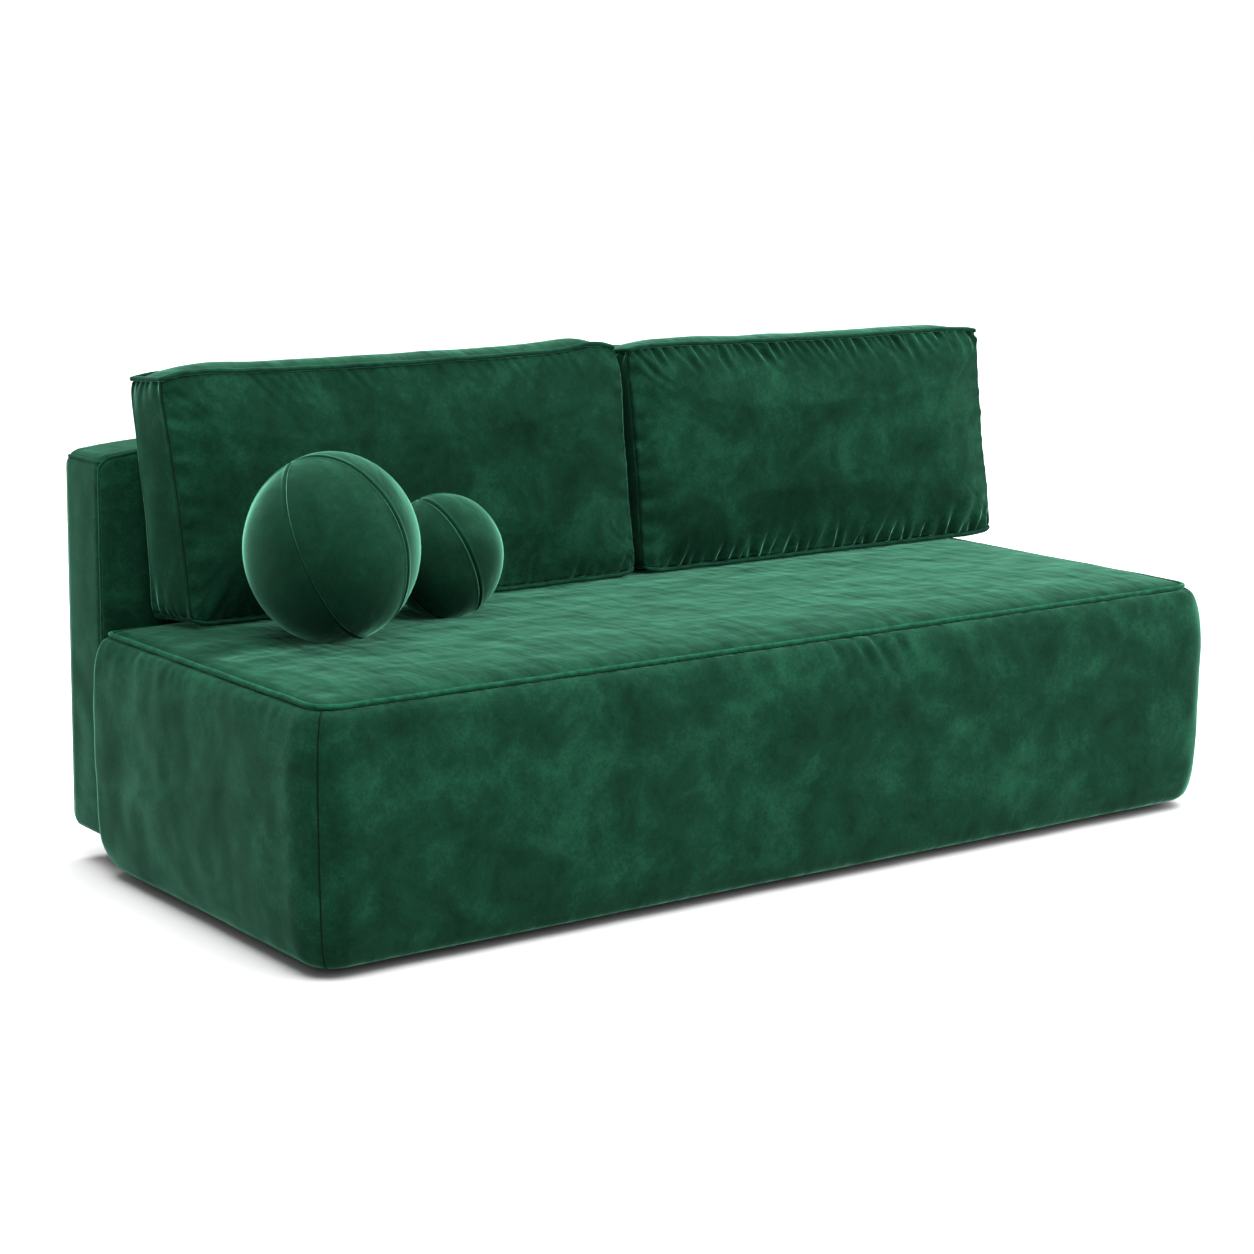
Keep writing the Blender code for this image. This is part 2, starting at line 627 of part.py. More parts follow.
def make_base(carrier, timber, plywood, steel, plastic):
    upper_rear = HINGE_Y - HINGE_CLEARANCE
    outline = [
        (BASE_FRONT_Y, BASE_UNDERSIDE),
        (BASE_REAR_Y, BASE_UNDERSIDE),
        (BASE_REAR_Y, REAR_RAIL_TOP),
        (upper_rear, REAR_RAIL_TOP + HINGE_PLATE_RADIUS / 2),
        (upper_rear, BASE_TOP),
        (BASE_FRONT_Y, BASE_TOP),
    ]
    inner = BASE_INNER_X - GAP
    for side, sign in SIDES.items():
        x0, x1 = side_span(sign, BASE_INNER_X, BASE_OUTER_X)
        piece(f"base_{side}_side", plate(outline, [], 0, x0, x1), plywood, carrier)
        x0, x1 = side_span(sign, BASE_OUTER_X + GAP, BASE_OUTER_X + GAP + GUIDE_WIDTH)
        low = (x0, BASE_FRONT_Y, GUIDE_TOP - GUIDE_HEIGHT)
        high = (x1, upper_rear, GUIDE_TOP)
        piece(f"{side}_guide_rail", box(low, high, BOARD_CHAMFER), timber, carrier)
    low = (-inner, BASE_FRONT_Y, BASE_UNDERSIDE)
    high = (inner, BASE_FRONT_Y + BOARD, FRONT_RAIL_TOP)
    piece("base_front_rail", box(low, high, BOARD_CHAMFER), plywood, carrier)
    low = (-inner, BASE_REAR_Y - BOARD, BASE_UNDERSIDE)
    high = (inner, BASE_REAR_Y, REAR_RAIL_TOP)
    piece("base_rear_rail", box(low, high, BOARD_CHAMFER), plywood, carrier)
    middle_front, middle_rear = BASE_FRONT_Y + BOARD + GAP, BASE_REAR_Y - BOARD - GAP
    outline = [
        (middle_front, BASE_UNDERSIDE),
        (middle_rear, BASE_UNDERSIDE),
        (middle_rear, REAR_RAIL_TOP),
        (upper_rear, REAR_RAIL_TOP),
        (upper_rear, BASE_TOP),
        (middle_front, BASE_TOP),
    ]
    piece("base_centre_board", plate(outline, [], 0, -BOARD / 2, BOARD / 2), plywood, carrier)
    low = (-BASE_OUTER_X, BASE_FRONT_Y, BOX_FLOOR_Z)
    high = (BASE_OUTER_X, BASE_REAR_Y, BOX_FLOOR_Z + BOX_FLOOR)
    piece("box_floor", box(low, high), plywood, carrier)
    for side, sign in SIDES.items():
        for end, y in (("front", BASE_FRONT_Y + FOOT_INSET), ("rear", BASE_REAR_Y - FOOT_INSET)):
            x = sign * (BASE_OUTER_X - FOOT_INSET)
            top = BOX_FLOOR_Z - GAP
            stations = [
                (FLOOR_Z, FOOT_RADIUS - FOOT_TAPER),
                (FLOOR_Z + FOOT_TAPER_HEIGHT, FOOT_RADIUS),
                (top, FOOT_RADIUS),
            ]
            smooth(piece(f"{end}_{side}_foot", rods(stations, 2, (x, y, 0)), plastic, carrier))
    make_hinge_brackets(carrier, steel)
    make_stay_brackets(carrier, steel)


def make_hinge_brackets(carrier, steel):
    centre = (HINGE_Y, HINGE_Z)
    foot = HINGE_Z - HINGE_BRACKET_LENGTH
    radius = HINGE_BRACKET_RADIUS
    outline = [(HINGE_Y - radius, foot), (HINGE_Y + radius, foot)]
    outline += arc(centre, radius, 0, 180, ROUND_SIDES // 2)
    hole = circle(centre, HINGE_PIN_RADIUS + GAP)
    for side, sign in SIDES.items():
        x0, x1 = side_span(sign, HINGE_BRACKET_X, HINGE_BRACKET_X + HINGE_BRACKET)
        piece(f"{side}_hinge_bracket", plate(outline, [hole], 0, x0, x1), steel, carrier)
        head = HINGE_PLATE_X - GAP
        stations = [
            (sign * (HINGE_BRACKET_X + HINGE_BRACKET), HINGE_PIN_RADIUS),
            (sign * head, HINGE_PIN_RADIUS),
            (sign * head, HINGE_PIN_HEAD_RADIUS),
            (sign * (head - HINGE_PIN_HEAD), HINGE_PIN_HEAD_RADIUS),
        ]
        pin = rods(stations, 0, (0, HINGE_Y, HINGE_Z))
        smooth(piece(f"{side}_hinge_pin", pin, steel, carrier))


def make_stay_brackets(carrier, steel):
    """An angle on each base side with the stud that the rear arm turns on."""
    half = STAY_BRACKET_WIDTH / 2
    for side, sign in SIDES.items():
        wall = sign * (BASE_INNER_X - GAP)
        flange = sign * (BASE_INNER_X - GAP - STAY_BRACKET)
        lip = sign * (STAY_X - STAY_WIDTH / 2)
        shelf_top = STAY_SHELF_Z + STAY_BRACKET
        outline = [
            (lip, STAY_SHELF_Z),
            (flange, STAY_SHELF_Z),
            (flange, shelf_top - STAY_BRACKET_DROP),
            (wall, shelf_top - STAY_BRACKET_DROP),
            (wall, shelf_top),
            (lip, shelf_top),
        ]
        angle = plate(outline, [], 1, STAY_Y - half, STAY_Y + half)
        bracket = piece(f"{side}_stay_bracket", angle, steel, carrier)
        stations = [
            (STAY_SHELF_Z + STAY_BRACKET / 2, STAY_PIN_RADIUS),
            (LOWER_ARM_Z + STAY_THICKNESS, STAY_PIN_RADIUS),
        ]
        stud = rods(stations, 2, (sign * STAY_X, STAY_Y, 0))
        combine(bracket, piece(f"{side}_stay_bracket_stud", stud, steel, carrier), "UNION")


def make_stays(base, steel):
    """Two folding arms on each side. At rest they make a flat vee, one arm above the other."""
    half = STAY_WIDTH / 2
    bore = STAY_PIN_RADIUS + GAP
    ends = {}
    for side, sign in SIDES.items():
        anchor = (sign * STAY_X, STAY_Y)
        knee = (sign * KNEE_X, KNEE_Y)
        tip = (sign * STAY_X, STUD_Y)
        rear = pivot(f"{side}_rear_arm_pivot", (*anchor, LOWER_ARM_Z), base)
        outline = slot_outline(anchor, knee, half)
        hole = circle(anchor, bore)
        lower = plate(outline, [hole], 2, LOWER_ARM_Z, LOWER_ARM_Z + STAY_THICKNESS)
        rear_arm = piece(f"{side}_rear_arm", lower, steel, rear)
        stations = [
            (LOWER_ARM_Z + STAY_THICKNESS / 2, STAY_PIN_RADIUS),
            (UPPER_ARM_Z + STAY_THICKNESS, STAY_PIN_RADIUS),
        ]
        stud = rods(stations, 2, (*knee, 0))
        combine(rear_arm, piece(f"{side}_knee_stud", stud, steel, rear), "UNION")
        front = pivot(f"{side}_front_arm_pivot", (*knee, UPPER_ARM_Z), rear)
        outline = slot_outline(knee, tip, half)
        holes = [circle(knee, bore), circle(tip, bore)]
        upper = plate(outline, holes, 2, UPPER_ARM_Z, UPPER_ARM_Z + STAY_THICKNESS)
        piece(f"{side}_front_arm", upper, steel, front)
        ends[side] = front
    return ends


def make_stay_studs(seat, steel):
    """A plate under the seat's cross rail, with the stud that the front arm turns on."""
    for side, sign in SIDES.items():
        x = sign * STAY_X
        half = STAY_STUD_PLATE / 2
        top = FRAME_Z - GAP
        low = (x - half, STUD_Y - RAIL / 2, top - STAY_BRACKET)
        high = (x + half, STUD_Y + RAIL / 2, top)
        base_plate = piece(f"{side}_stay_stud", box(low, high), steel, seat)
        stations = [
            (UPPER_ARM_Z, STAY_PIN_RADIUS),
            (UPPER_ARM_Z + STAY_THICKNESS + GAP, STAY_PIN_RADIUS),
            (UPPER_ARM_Z + STAY_THICKNESS + GAP, STAY_COLLAR_RADIUS),
            (top - STAY_BRACKET / 2, STAY_COLLAR_RADIUS),
        ]
        stud = rods(stations, 2, (x, STUD_Y, 0))
        combine(base_plate, piece(f"{side}_stud_shank", stud, steel, seat), "UNION")


def back_outline(inset):
    """Front view of the back slab, inset all round: small corner radii and a softly crowned top."""
    half = HALF_WIDTH - inset
    shoulder = BACK_TOP - BACK_TOP_CROWN - inset
    low = BACK_UNDERSIDE + inset
    radius = BACK_CORNER
    points = arc((-half + radius, low + radius), radius, 180, 270, ARC_STEPS)
    points += arc((half - radius, low + radius), radius, 270, 360, ARC_STEPS)
    points += arc((half - radius, shoulder - radius), radius, 0, 90, ARC_STEPS)
    top = spread(half - radius, -half + radius, BACK_TOP_POINTS)[1:-1]
    points += [(x, shoulder + BACK_TOP_CROWN * (1 - (x / (half - radius)) ** 8)) for x in top]
    points += arc((-half + radius, shoulder - radius), radius, 90, 180, ARC_STEPS)
    return points


def back_rings(levels):
    """Rings of the slab's outline at (inset, y) levels."""
    return [[(x, y, z) for x, z in back_outline(inset)] for inset, y in levels]


def make_back(carrier, velvet, timber, steel):
    edge = BACK_EDGE_ROUND
    turns = [math.radians(90 * i / ARC_STEPS) for i in range(ARC_STEPS + 1)]
    levels = [(edge * (1 - math.sin(t)), BACK_FRONT_Y + edge * (1 - math.cos(t))) for t in turns]
    levels.append((0.0, BACK_FRAME_Y - GAP))
    front_pad = smooth(piece("back_front_pad", loft(back_rings(levels)), velvet, carrier))
    face = BACK_REAR_Y - BACK_FACE_CROWN
    levels = [(0.0, BACK_PAD_REAR_Y)]
    levels += [(edge * (1 - math.cos(t)), face - edge * (1 - math.sin(t))) for t in turns]
    levels += [(inset, BACK_REAR_Y - BACK_FACE_CROWN * share) for inset, share in BACK_CROWN_STEPS]
    smooth(piece("back_rear_pad", loft(back_rings(levels)), velvet, carrier))
    inner = [
        (-BACK_FRAME_X - GAP, BACK_FRAME_BOTTOM - GAP),
        (BACK_FRAME_X + GAP, BACK_FRAME_BOTTOM - GAP),
        (BACK_FRAME_X + GAP, BACK_FRAME_TOP + GAP),
        (-BACK_FRAME_X - GAP, BACK_FRAME_TOP + GAP),
    ]
    border = plate(back_outline(0.0), [inner], 1, BACK_FRAME_Y, BACK_FRAME_Y + BACK_FRAME)
    smooth(piece("back_border", border, velvet, carrier))
    frame_rear = BACK_FRAME_Y + BACK_FRAME
    for side, sign in SIDES.items():
        x0, x1 = side_span(sign, STILE_INNER_X, BACK_FRAME_X)
        low = (x0, BACK_FRAME_Y, BACK_FRAME_BOTTOM)
        piece(f"back_{side}_stile", box(low, (x1, frame_rear, BACK_FRAME_TOP)), timber, carrier)
    rail_end = STILE_INNER_X - GAP
    rails = (("back_bottom_rail", BACK_FRAME_BOTTOM), ("back_top_rail", BACK_FRAME_TOP - BACK_RAIL))
    for name, z in rails:
        low = (-rail_end, BACK_FRAME_Y, z)
        piece(name, box(low, (rail_end, frame_rear, z + BACK_RAIL)), timber, carrier)
    centre = (HINGE_Y, HINGE_Z)
    outline = [(frame_rear, HINGE_Z + HINGE_PLATE_RADIUS)]
    outline += arc(centre, HINGE_PLATE_RADIUS, 90, 270, ROUND_SIDES // 2)
    outline.append((frame_rear, HINGE_Z - HINGE_PLATE_RADIUS))
    hole = circle(centre, HINGE_PIN_RADIUS + GAP)
    for side, sign in SIDES.items():
        x0, x1 = side_span(sign, HINGE_PLATE_X, HINGE_PLATE_X + HINGE_PLATE)
        piece(f"{side}_hinge_plate", plate(outline, [hole], 0, x0, x1), steel, carrier)
        slot_half = HINGE_PLATE_RADIUS + HINGE_SLOT_MARGIN
        low = (x0 - HINGE_SLOT_MARGIN, BACK_FRONT_Y - edge, HINGE_Z - slot_half)
        high = (x1 + HINGE_SLOT_MARGIN, BACK_FRAME_Y + edge, HINGE_Z + slot_half)
        combine(front_pad, piece(f"{side}_hinge_slot", box(low, high), velvet, carrier), "DIFFERENCE")
    return front_pad


def edge_points(ends):
    """Points along edges that are given by their two ends."""
    shares = [i / EDGE_SAMPLES for i in range(EDGE_SAMPLES + 1)]
    return [first.lerp(last, share) for first, last in ends for share in shares]


def surface(made):
    """Points on an object's edges in world space, and a search tree of its faces."""
    bpy.context.view_layer.update()
    points = [made.matrix_world @ vertex.co for vertex in made.data.vertices]
    ends = [(points[edge.vertices[0]], points[edge.vertices[1]]) for edge in made.data.edges]
    faces = [tuple(face.vertices) for face in made.data.polygons]
    return edge_points(ends), BVHTree.FromPolygons(points, faces)


def meet(mesh, other, way, gap=GAP):
    """Moves a loose mesh along a direction until it lies a gap from another surface."""
    points, tree = other
    own_tree = BVHTree.FromBMesh(mesh)
    own_points = edge_points([(edge.verts[0].co, edge.verts[1].co) for edge in mesh.edges])
    reach = [tree.ray_cast(point, way)[3] for point in own_points]
    reach += [own_tree.ray_cast(point, -way)[3] for point in points]
    nearest = min(length for length in reach if length is not None)
    bmesh.ops.translate(mesh, verts=mesh.verts, vec=way * (nearest - gap))


def settle(mesh, under, behind, stand_off=GAP):
    """Lowers a loose mesh onto what carries it and moves it back to what is behind it."""
    for _ in range(SETTLE_ROUNDS):
        meet(mesh, under, DOWN)
        meet(mesh, behind, REARWARD, stand_off)


def cushion_points(width):
    """Front grid, border ring and rear grid of an upright cushion about its middle, facing -Y."""
    across, up = CUSHION_GRID

    def ease(share):
        return -math.cos(math.pi * share)

    def outline(u, v):
        """Sides that draw in between rounded corners, over a straight lower edge."""
        corner = CUSHION_CORNER * (u * v) ** 12
        x = u * (width / 2 - CUSHION_DRAW_IN * (1 - v * v) - corner)
        z = v * (CUSHION_HEIGHT / 2 - (CUSHION_DRAW_IN * (1 - u * u) + corner) * (1 + v) / 2)
        return x, z

    grid = {}
    for i in range(across + 1):
        for j in range(up + 1):
            u, v = ease(i / across), ease(j / up)
            x, z = outline(u, v)
            swell = (1 - abs(u) ** 5) * (1 - abs(v) ** 3)
            grid["front", i, j] = (x, -CUSHION_EDGE / 2 - CUSHION_FRONT_CROWN * swell, z)
            grid["rear", i, j] = (x, CUSHION_EDGE / 2 + CUSHION_REAR_CROWN * swell, z)
    loop = [(i, 0) for i in range(across)] + [(across, j) for j in range(up)]
    loop += [(i, up) for i in range(across, 0, -1)] + [(0, j) for j in range(up, 0, -1)]
    for i, j in loop:
        u, v = ease(i / across), ease(j / up)
        x, z = outline(u, v)
        side = {0: -1, across: 1}.get(i, 0)
        end = {0: -1, up: 1}.get(j, 0)
        x += side * CUSHION_SIDE_SWELL * (1 - v**4)
        z += end * CUSHION_END_SWELL * (1 - u**4)
        grid["border", i, j] = (x, 0.0, z)
    return grid, loop


def cushion_mesh(width, x):
    """A box cushion that leans back, above the seat and clear of the back."""
    grid, loop = cushion_points(width)
    across, up = CUSHION_GRID
    lean = Matrix.Rotation(-CUSHION_LEAN, 3, "X")
    start = Vector((x, BACK_FRONT_Y - CUSHION_HEIGHT, SEAT_TOP + CUSHION_HEIGHT))
    mesh = bmesh.new()
    verts = {key: mesh.verts.new(lean @ Vector(point) + start) for key, point in grid.items()}
    for face in ("front", "rear"):
        for i in range(across):
            for j in range(up):
                corners = ((i, j), (i + 1, j), (i + 1, j + 1), (i, j + 1))
                mesh.faces.new([verts[(face, *corner)] for corner in corners])
    for here, after in zip(loop, loop[1:] + loop[:1]):
        for one, two in (("front", "border"), ("border", "rear")):
            ends = ((one, here), (one, after), (two, after), (two, here))
            mesh.faces.new([verts[(face, *corner)] for face, corner in ends])
    return mesh


def ball_mesh(x, radius, half_height, spin):
    """A ball of gores about a leaning axis, with sunk seams and a flat foot, above the seat."""
    segments = GORES * BALL_SEGMENTS_PER_GORE
    way = Matrix.Rotation(BALL_LEAN_WAY, 3, "Z")
    lean = way @ Matrix.Rotation(BALL_LEAN, 3, "Y") @ way.inverted() @ Matrix.Rotation(spin, 3, "Z")
    centre = Vector((x, SEAT_FRONT_Y + SEAT_DEPTH / 2, SEAT_TOP + 2 * half_height))

    def place(turn, rise):
        along = math.cos(rise)
        off_seam = abs(math.sin(turn * GORES / 2))
        groove = BALL_SEAM * along * (1 - min(1.0, off_seam / BALL_SEAM_SHARE))
        out = radius * along - groove
        point = lean @ Vector((out * math.cos(turn), out * math.sin(turn), radius * math.sin(rise)))
        point.z = max(point.z * half_height / radius, BALL_FLAT - half_height)
        return point + centre

    mesh = bmesh.new()
    rings = []
    for j in range(1, BALL_RINGS):
        rise = math.pi * (j / BALL_RINGS - 0.5)
        turns = [2 * math.pi * i / segments for i in range(segments)]
        rings.append([mesh.verts.new(place(turn, rise)) for turn in turns])
    for lower, upper in zip(rings, rings[1:]):
        for i in range(segments):
            j = (i + 1) % segments
            mesh.faces.new((lower[i], lower[j], upper[j], upper[i]))
    for ring, rise in ((rings[0], -math.pi / 2), (rings[-1], math.pi / 2)):
        pole = mesh.verts.new(place(0.0, rise))
        for i in range(segments):
            mesh.faces.new((ring[i], ring[(i + 1) % segments], pole))
    return mesh


def make_cushions(seat, velvet, top_pad, front_pad):
    """Two back cushions on the seat against the back, and two balls in front of the left one."""
    under, behind = surface(top_pad), surface(front_pad)

    def lay(name, mesh, x):
        carrier = pivot(f"{name}_place", (x, BACK_FRONT_Y, SEAT_TOP), seat)
        return smooth(piece(name, mesh, velvet, carrier))

    right = cushion_mesh(RIGHT_CUSHION_WIDTH, RIGHT_CUSHION_X)
    settle(right, under, behind)
    lay("right_back_cushion", right, RIGHT_CUSHION_X)
    left = cushion_mesh(LEFT_CUSHION_WIDTH, LEFT_CUSHION_X)
    settle(left, under, behind)
    behind = surface(lay("left_back_cushion", left, LEFT_CUSHION_X))
    large = ball_mesh(LARGE_BALL_X, LARGE_BALL_RADIUS, LARGE_BALL_HALF_HEIGHT, LARGE_BALL_TURN)
    settle(large, under, behind, LARGE_BALL_STAND_OFF)
    lay("large_ball_cushion", large, LARGE_BALL_X)
    small = ball_mesh(SMALL_BALL_X, SMALL_BALL_RADIUS, SMALL_BALL_HALF_HEIGHT, SMALL_BALL_TURN)
    settle(small, under, behind, SMALL_BALL_STAND_OFF)
    lay("small_ball_cushion", small, SMALL_BALL_X)


def main():
    clear_scene()
    velvet = finish("green velvet", "2C5F49", 0.75)
    timber = finish("planed pine", "C79E6B", 0.55)
    plywood = finish("birch plywood", "D2B48C", 0.55)
    foam = finish("upholstery foam", "E6DFC8", 0.9)
    steel = finish("zinc-plated steel", "A9ADB0", 0.35, 1.0)
    plastic = finish("black plastic", "1B1B1C", 0.45)
    base = pivot("base", (0.0, 0.0, 0.0))
    make_base(base, timber, plywood, steel, plastic)
    back = pivot("back_hinge_axis", (0.0, HINGE_Y, HINGE_Z), base)
    front_pad = make_back(back, velvet, timber, steel)
    ends = make_stays(base, steel)
    seat = pivot("seat_pivot", (SIDES["left"] * STAY_X, STUD_Y, UPPER_ARM_Z), ends["left"])
    make_seat_frame(seat, timber, plywood, foam)
    top_pad = make_top_pad(seat, velvet)
    make_piping(seat, velvet)
    make_skirts(seat, velvet)
    make_stay_studs(seat, steel)
    make_castors(seat, plastic)
    make_rollers(seat, steel, plastic)
    make_cushions(seat, velvet, top_pad, front_pad)


main()
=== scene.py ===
"""Armless green velvet sofa bed: covers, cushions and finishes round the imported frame."""

import json
import math
import random

import bmesh
import bpy
import numpy as np
from mathutils import Matrix, Vector, noise


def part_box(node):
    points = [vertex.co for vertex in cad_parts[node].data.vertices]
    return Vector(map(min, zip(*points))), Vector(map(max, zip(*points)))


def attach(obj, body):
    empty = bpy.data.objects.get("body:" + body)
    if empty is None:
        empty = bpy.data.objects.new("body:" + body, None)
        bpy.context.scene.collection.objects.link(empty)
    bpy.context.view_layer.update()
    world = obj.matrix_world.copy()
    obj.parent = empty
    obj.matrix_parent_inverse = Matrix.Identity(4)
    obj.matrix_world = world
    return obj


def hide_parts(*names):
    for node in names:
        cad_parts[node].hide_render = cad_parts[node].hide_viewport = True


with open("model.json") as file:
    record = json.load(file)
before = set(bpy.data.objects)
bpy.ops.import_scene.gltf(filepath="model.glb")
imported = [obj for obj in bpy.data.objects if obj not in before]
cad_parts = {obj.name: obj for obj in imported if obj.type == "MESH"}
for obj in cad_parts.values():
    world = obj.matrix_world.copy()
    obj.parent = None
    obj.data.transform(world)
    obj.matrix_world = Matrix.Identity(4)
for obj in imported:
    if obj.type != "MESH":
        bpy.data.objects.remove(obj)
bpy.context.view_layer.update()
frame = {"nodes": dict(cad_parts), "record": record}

# The photograph's view
PHOTO_PIXELS = 1254
FOCAL_PIXELS = 2830.84
SENSOR_MM = 36.0
CAMERA_PLACE = (-3.0717, -4.2471, 1.3962)
CAMERA_YAW = math.radians(35.277)  # to the right of straight ahead
CAMERA_PITCH = math.radians(10.783)  # downwards

# Cloth and sewing
CLOTH_STEP = 0.005  # mesh of the simulated covers
PANEL_STEP = 0.007  # mesh of the fixed covers
SEAM_STEPS = (0.0020, 0.0025, 0.0040)  # finer rows next to a seam
SEAM_SINK = 0.0034
SEAM_WIDTH = 0.0013
SEAM_LIP = 0.0009  # the cloth swells on both sides of a seam
SEAM_LIP_AWAY = 0.0045
SEAM_LIP_WIDTH = 0.0025
SEAM_SHADE_CORD = 0.0011  # half the width of the nearly black cord laid in a seam as painted shade of its groove
FOLD_NARROWEST = 0.0052  # half the width of a pucker at a seam
LIFT = 0.0003  # a soft piece above what carries it
REST = 0.0008  # a cushion above the seat's own unevenness
STUFFING_FRAMES = 20
FIRST_FOLD = (0.3, 1.0)  # least and greatest share of the spacing from a seam's end to its first fold
FOLD_SPACINGS = (0.6, 1.5)  # from fold to fold
FOLD_WIDTHS = (0.18, 0.32)
FOLD_REACHES = (0.4, 1.0)
FOLD_DEPTHS = (0.3, 1.0)
FOLD_LEANS = (-0.25, 0.25)  # added to the slant
FOLD_START = 0.003  # a fold begins this far from its seam
FOLD_FADE = 1.4
FOLD_LIP = 0.55  # the cloth rises on both sides of a fold, as a share of its depth
FOLD_LIP_AWAY = 1.7  # in half widths of the fold
CORD_SIDES = 12
NOISE_SHIFT = (3.17, 1.31, 2.23)  # a step of the seed moves the unevenness this far

# Seat block
SEAT_CORNER = 0.050
SEAT_REAR_CORNER = 0.018
SEAT_ROLL = 0.0065  # the top panel turns down this far into the piping
SEAT_ROLL_WIDTH = 0.008
SEAT_CALM = 0.03  # no unevenness this close to the piping
SEAT_FLAT_ACROSS = 16  # its crown is flatter the higher these are
SEAT_FLAT_DEEP = 6
SEAT_INSET = 1.6  # where the top panel meets the piping, in half widths of the piping
SEAT_SWELL = (0.11, 0.0022, 3)  # size, depth and seed of its unevenness
SEAT_SWELL_STRETCH = (1, 1.6, 0)
SEAT_RIPPLE = (0.035, 0.0008, 5)
SEAT_RIPPLE_STRETCH = (0.7, 1.7, 0)
SKIRT_PAD = 0.035
SKIRT_FULLEST = 0.56
SKIRT_END_ROUND = 0.022
SKIRT_FULLER = 0.004  # rounder than the frame's skirts
SKIRT_HEEL = 0.07  # its rear lower corners are rounded over this length
SKIRT_HEEL_DEPTH = 0.024
SKIRT_TUCK = 0.030  # its foot turns in this far
SKIRT_THINNEST = 0.002
SKIRT_SEED = 11
SKIRT_GATHERS = (0.034, 0.10, 0.0016, 0.1)  # spacing, reach, depth and slant
SKIRT_SWELL = (0.16, 0.0035, 7)  # size, depth and seed of its unevenness
SKIRT_RIPPLE = (0.05, 0.0010, 9)
SKIRT_CALM = 0.05  # no unevenness this close to its edges
SKIRT_SEAM_TOP = 0.02  # its corner seams deepen over this length
SKIRT_SEAM_ROWS = (-0.0065, -0.0040, -0.0018, 0.0, 0.0018, 0.0040, 0.0065)  # finer rows at a corner seam
SKIRT_SEAM_CLEAR = 0.010
SKIRT_END_ROWS = 6  # finer rows at its rear ends
SKIRT_END_STEP = 0.004
SKIRT_LINE_POINTS = 400
FRONT_FOLDS = ((0.10, 0.55), (0.14, 0.5), (0.19, 0.45), (0.05, 0.3))  # right of the middle, and slant
FRONT_FOLD = (0.13, 0.0055, 0.008)  # reach, depth and half width
SEAT_WELT_PROUD = 0.0015
SEAT_WELT_SWELL = (0.08, 0.0008, 2)
SEAT_WELT_TURN = 13  # points round a corner

# Back slab
SLAB_CORNER = 0.022
SLAB_EDGE = 0.015
SLAB_TOP_CROWN = 0.021
SLAB_FACE_CROWN = 0.007
SLAB_FLARE = 0.010  # wider at the foot, on each side
SLAB_WELT = 0.0024
SLAB_NOTCH = 0.0020  # its seams are drawn in under the welts
SLAB_STEP = 0.009
SLAB_EDGE_ROWS = 8
SLAB_BORDER_ROWS = 14
SLAB_TOP_FLAT = 8  # its top line and faces are flatter the higher these are
SLAB_FLAT_ACROSS = 10
SLAB_FLAT_UP = 8
SLAB_TOP_RISE = 3  # its top line's crown dies out downwards faster the higher this is
SLAB_WELT_SHORTEST = 0.001  # shorter steps of a welt are left out

# Back cushions
CUSHION_EDGE = 0.120
CUSHION_HEIGHT = 0.433
CUSHION_LEAN = math.radians(5.0)
CUSHION_CROWN = 0.022  # before it is stuffed
CUSHION_PRESSURE = 4.0
CUSHION_STUFFING = 0.010  # the most that the stuffing pushes its cover out
CUSHION_EAR = 0.0012  # its top welt stands out at the corners
CUSHION_EAR_WIDTH = 0.009
CUSHION_ROUNDNESS = 0.6  # its face turns down to the seams more steeply the lower this is
CUSHION_FLAT_ACROSS = 8  # its face is flatter the higher these are
CUSHION_FLAT_UP = 5
CUSHION_SIDE_FLAT = 4
CUSHION_DRAW_IN = 0.006  # its edges pull in between the corners
CUSHION_CORNER = 0.010
CUSHION_FOOT_SWELL = 0.010
CUSHION_FOOT_DROP = 0.005  # its lower front edge settles onto the seat
CUSHION_SIDE_SWELL = 0.006
CUSHION_WELT = 0.0045
CUSHION_WELT_PROUD = 0.0030
CUSHION_SLOUCH = {"left": (0.015, 0.007), "right": (0.005, 0.018)}  # its foot stands this far right
CUSHION_TOP_LEFT = {"left": (0.0, 0.002), "right": (0.010, 0.005)}  # its upper end stands this far left
CUSHION_HEEL_IN = 0.018  # the left one's lower front corner is drawn in
CUSHION_TOP_IN = 0.016  # and so is its upper right corner
CUSHION_TOP_TIGHT = 12  # its corners are rounded over a shorter length the higher this is
CUSHION_FOOT_TIGHT = 24
LEFT_TOP_RISES = ((0.004, -0.85, 0.2), (0.011, 0.9, 0.14))  # height, then place and reach in half widths
RIGHT_TOP_DROP = 0.006  # its top line falls to the right
CUSHION_END_FADE = 4  # these shifts fade away from its ends, top and foot faster the higher these are
CUSHION_TOP_FADE = 4
CUSHION_CORNER_FADE = 12
CUSHION_FOOT_FADE = 6
CUSHION_SWELL = (0.09, 0.0022)  # size and depth of its unevenness
CUSHION_WELT_SWELL = (0.05, 0.0015)
CUSHION_WELT_SMOOTHING = 3
CUSHION_REAR_FOLDS = 0.4  # depth of the rear panel's folds, as a share of the front's
CUSHION_FORMS = (  # side, seed, rise of the top, then depth of the folds at the top, foot and sides
    ("left", 21, 0.020, (0.0034, 0.0044, 0.0044)),
    ("right", 34, 0.015, (0.0105, 0.0110, 0.0040)),
)

# Folds of the back cushions: spacing and reach, then slant
TOP_FOLDS = (0.021, 0.090)
TOP_SLANT = 0.5
FOOT_FOLDS = (0.027, 0.110)
FOOT_SLANT = 0.35
LEFT_FOLDS = (0.040, 0.11)
RIGHT_FOLDS = (0.034, 0.07)
END_TOP_FOLDS = (0.024, 0.085, 0.0056, 0.0)  # on the narrow ends, with their depth
END_FOOT_FOLDS = (0.025, 0.100, 0.0066, 0.0)

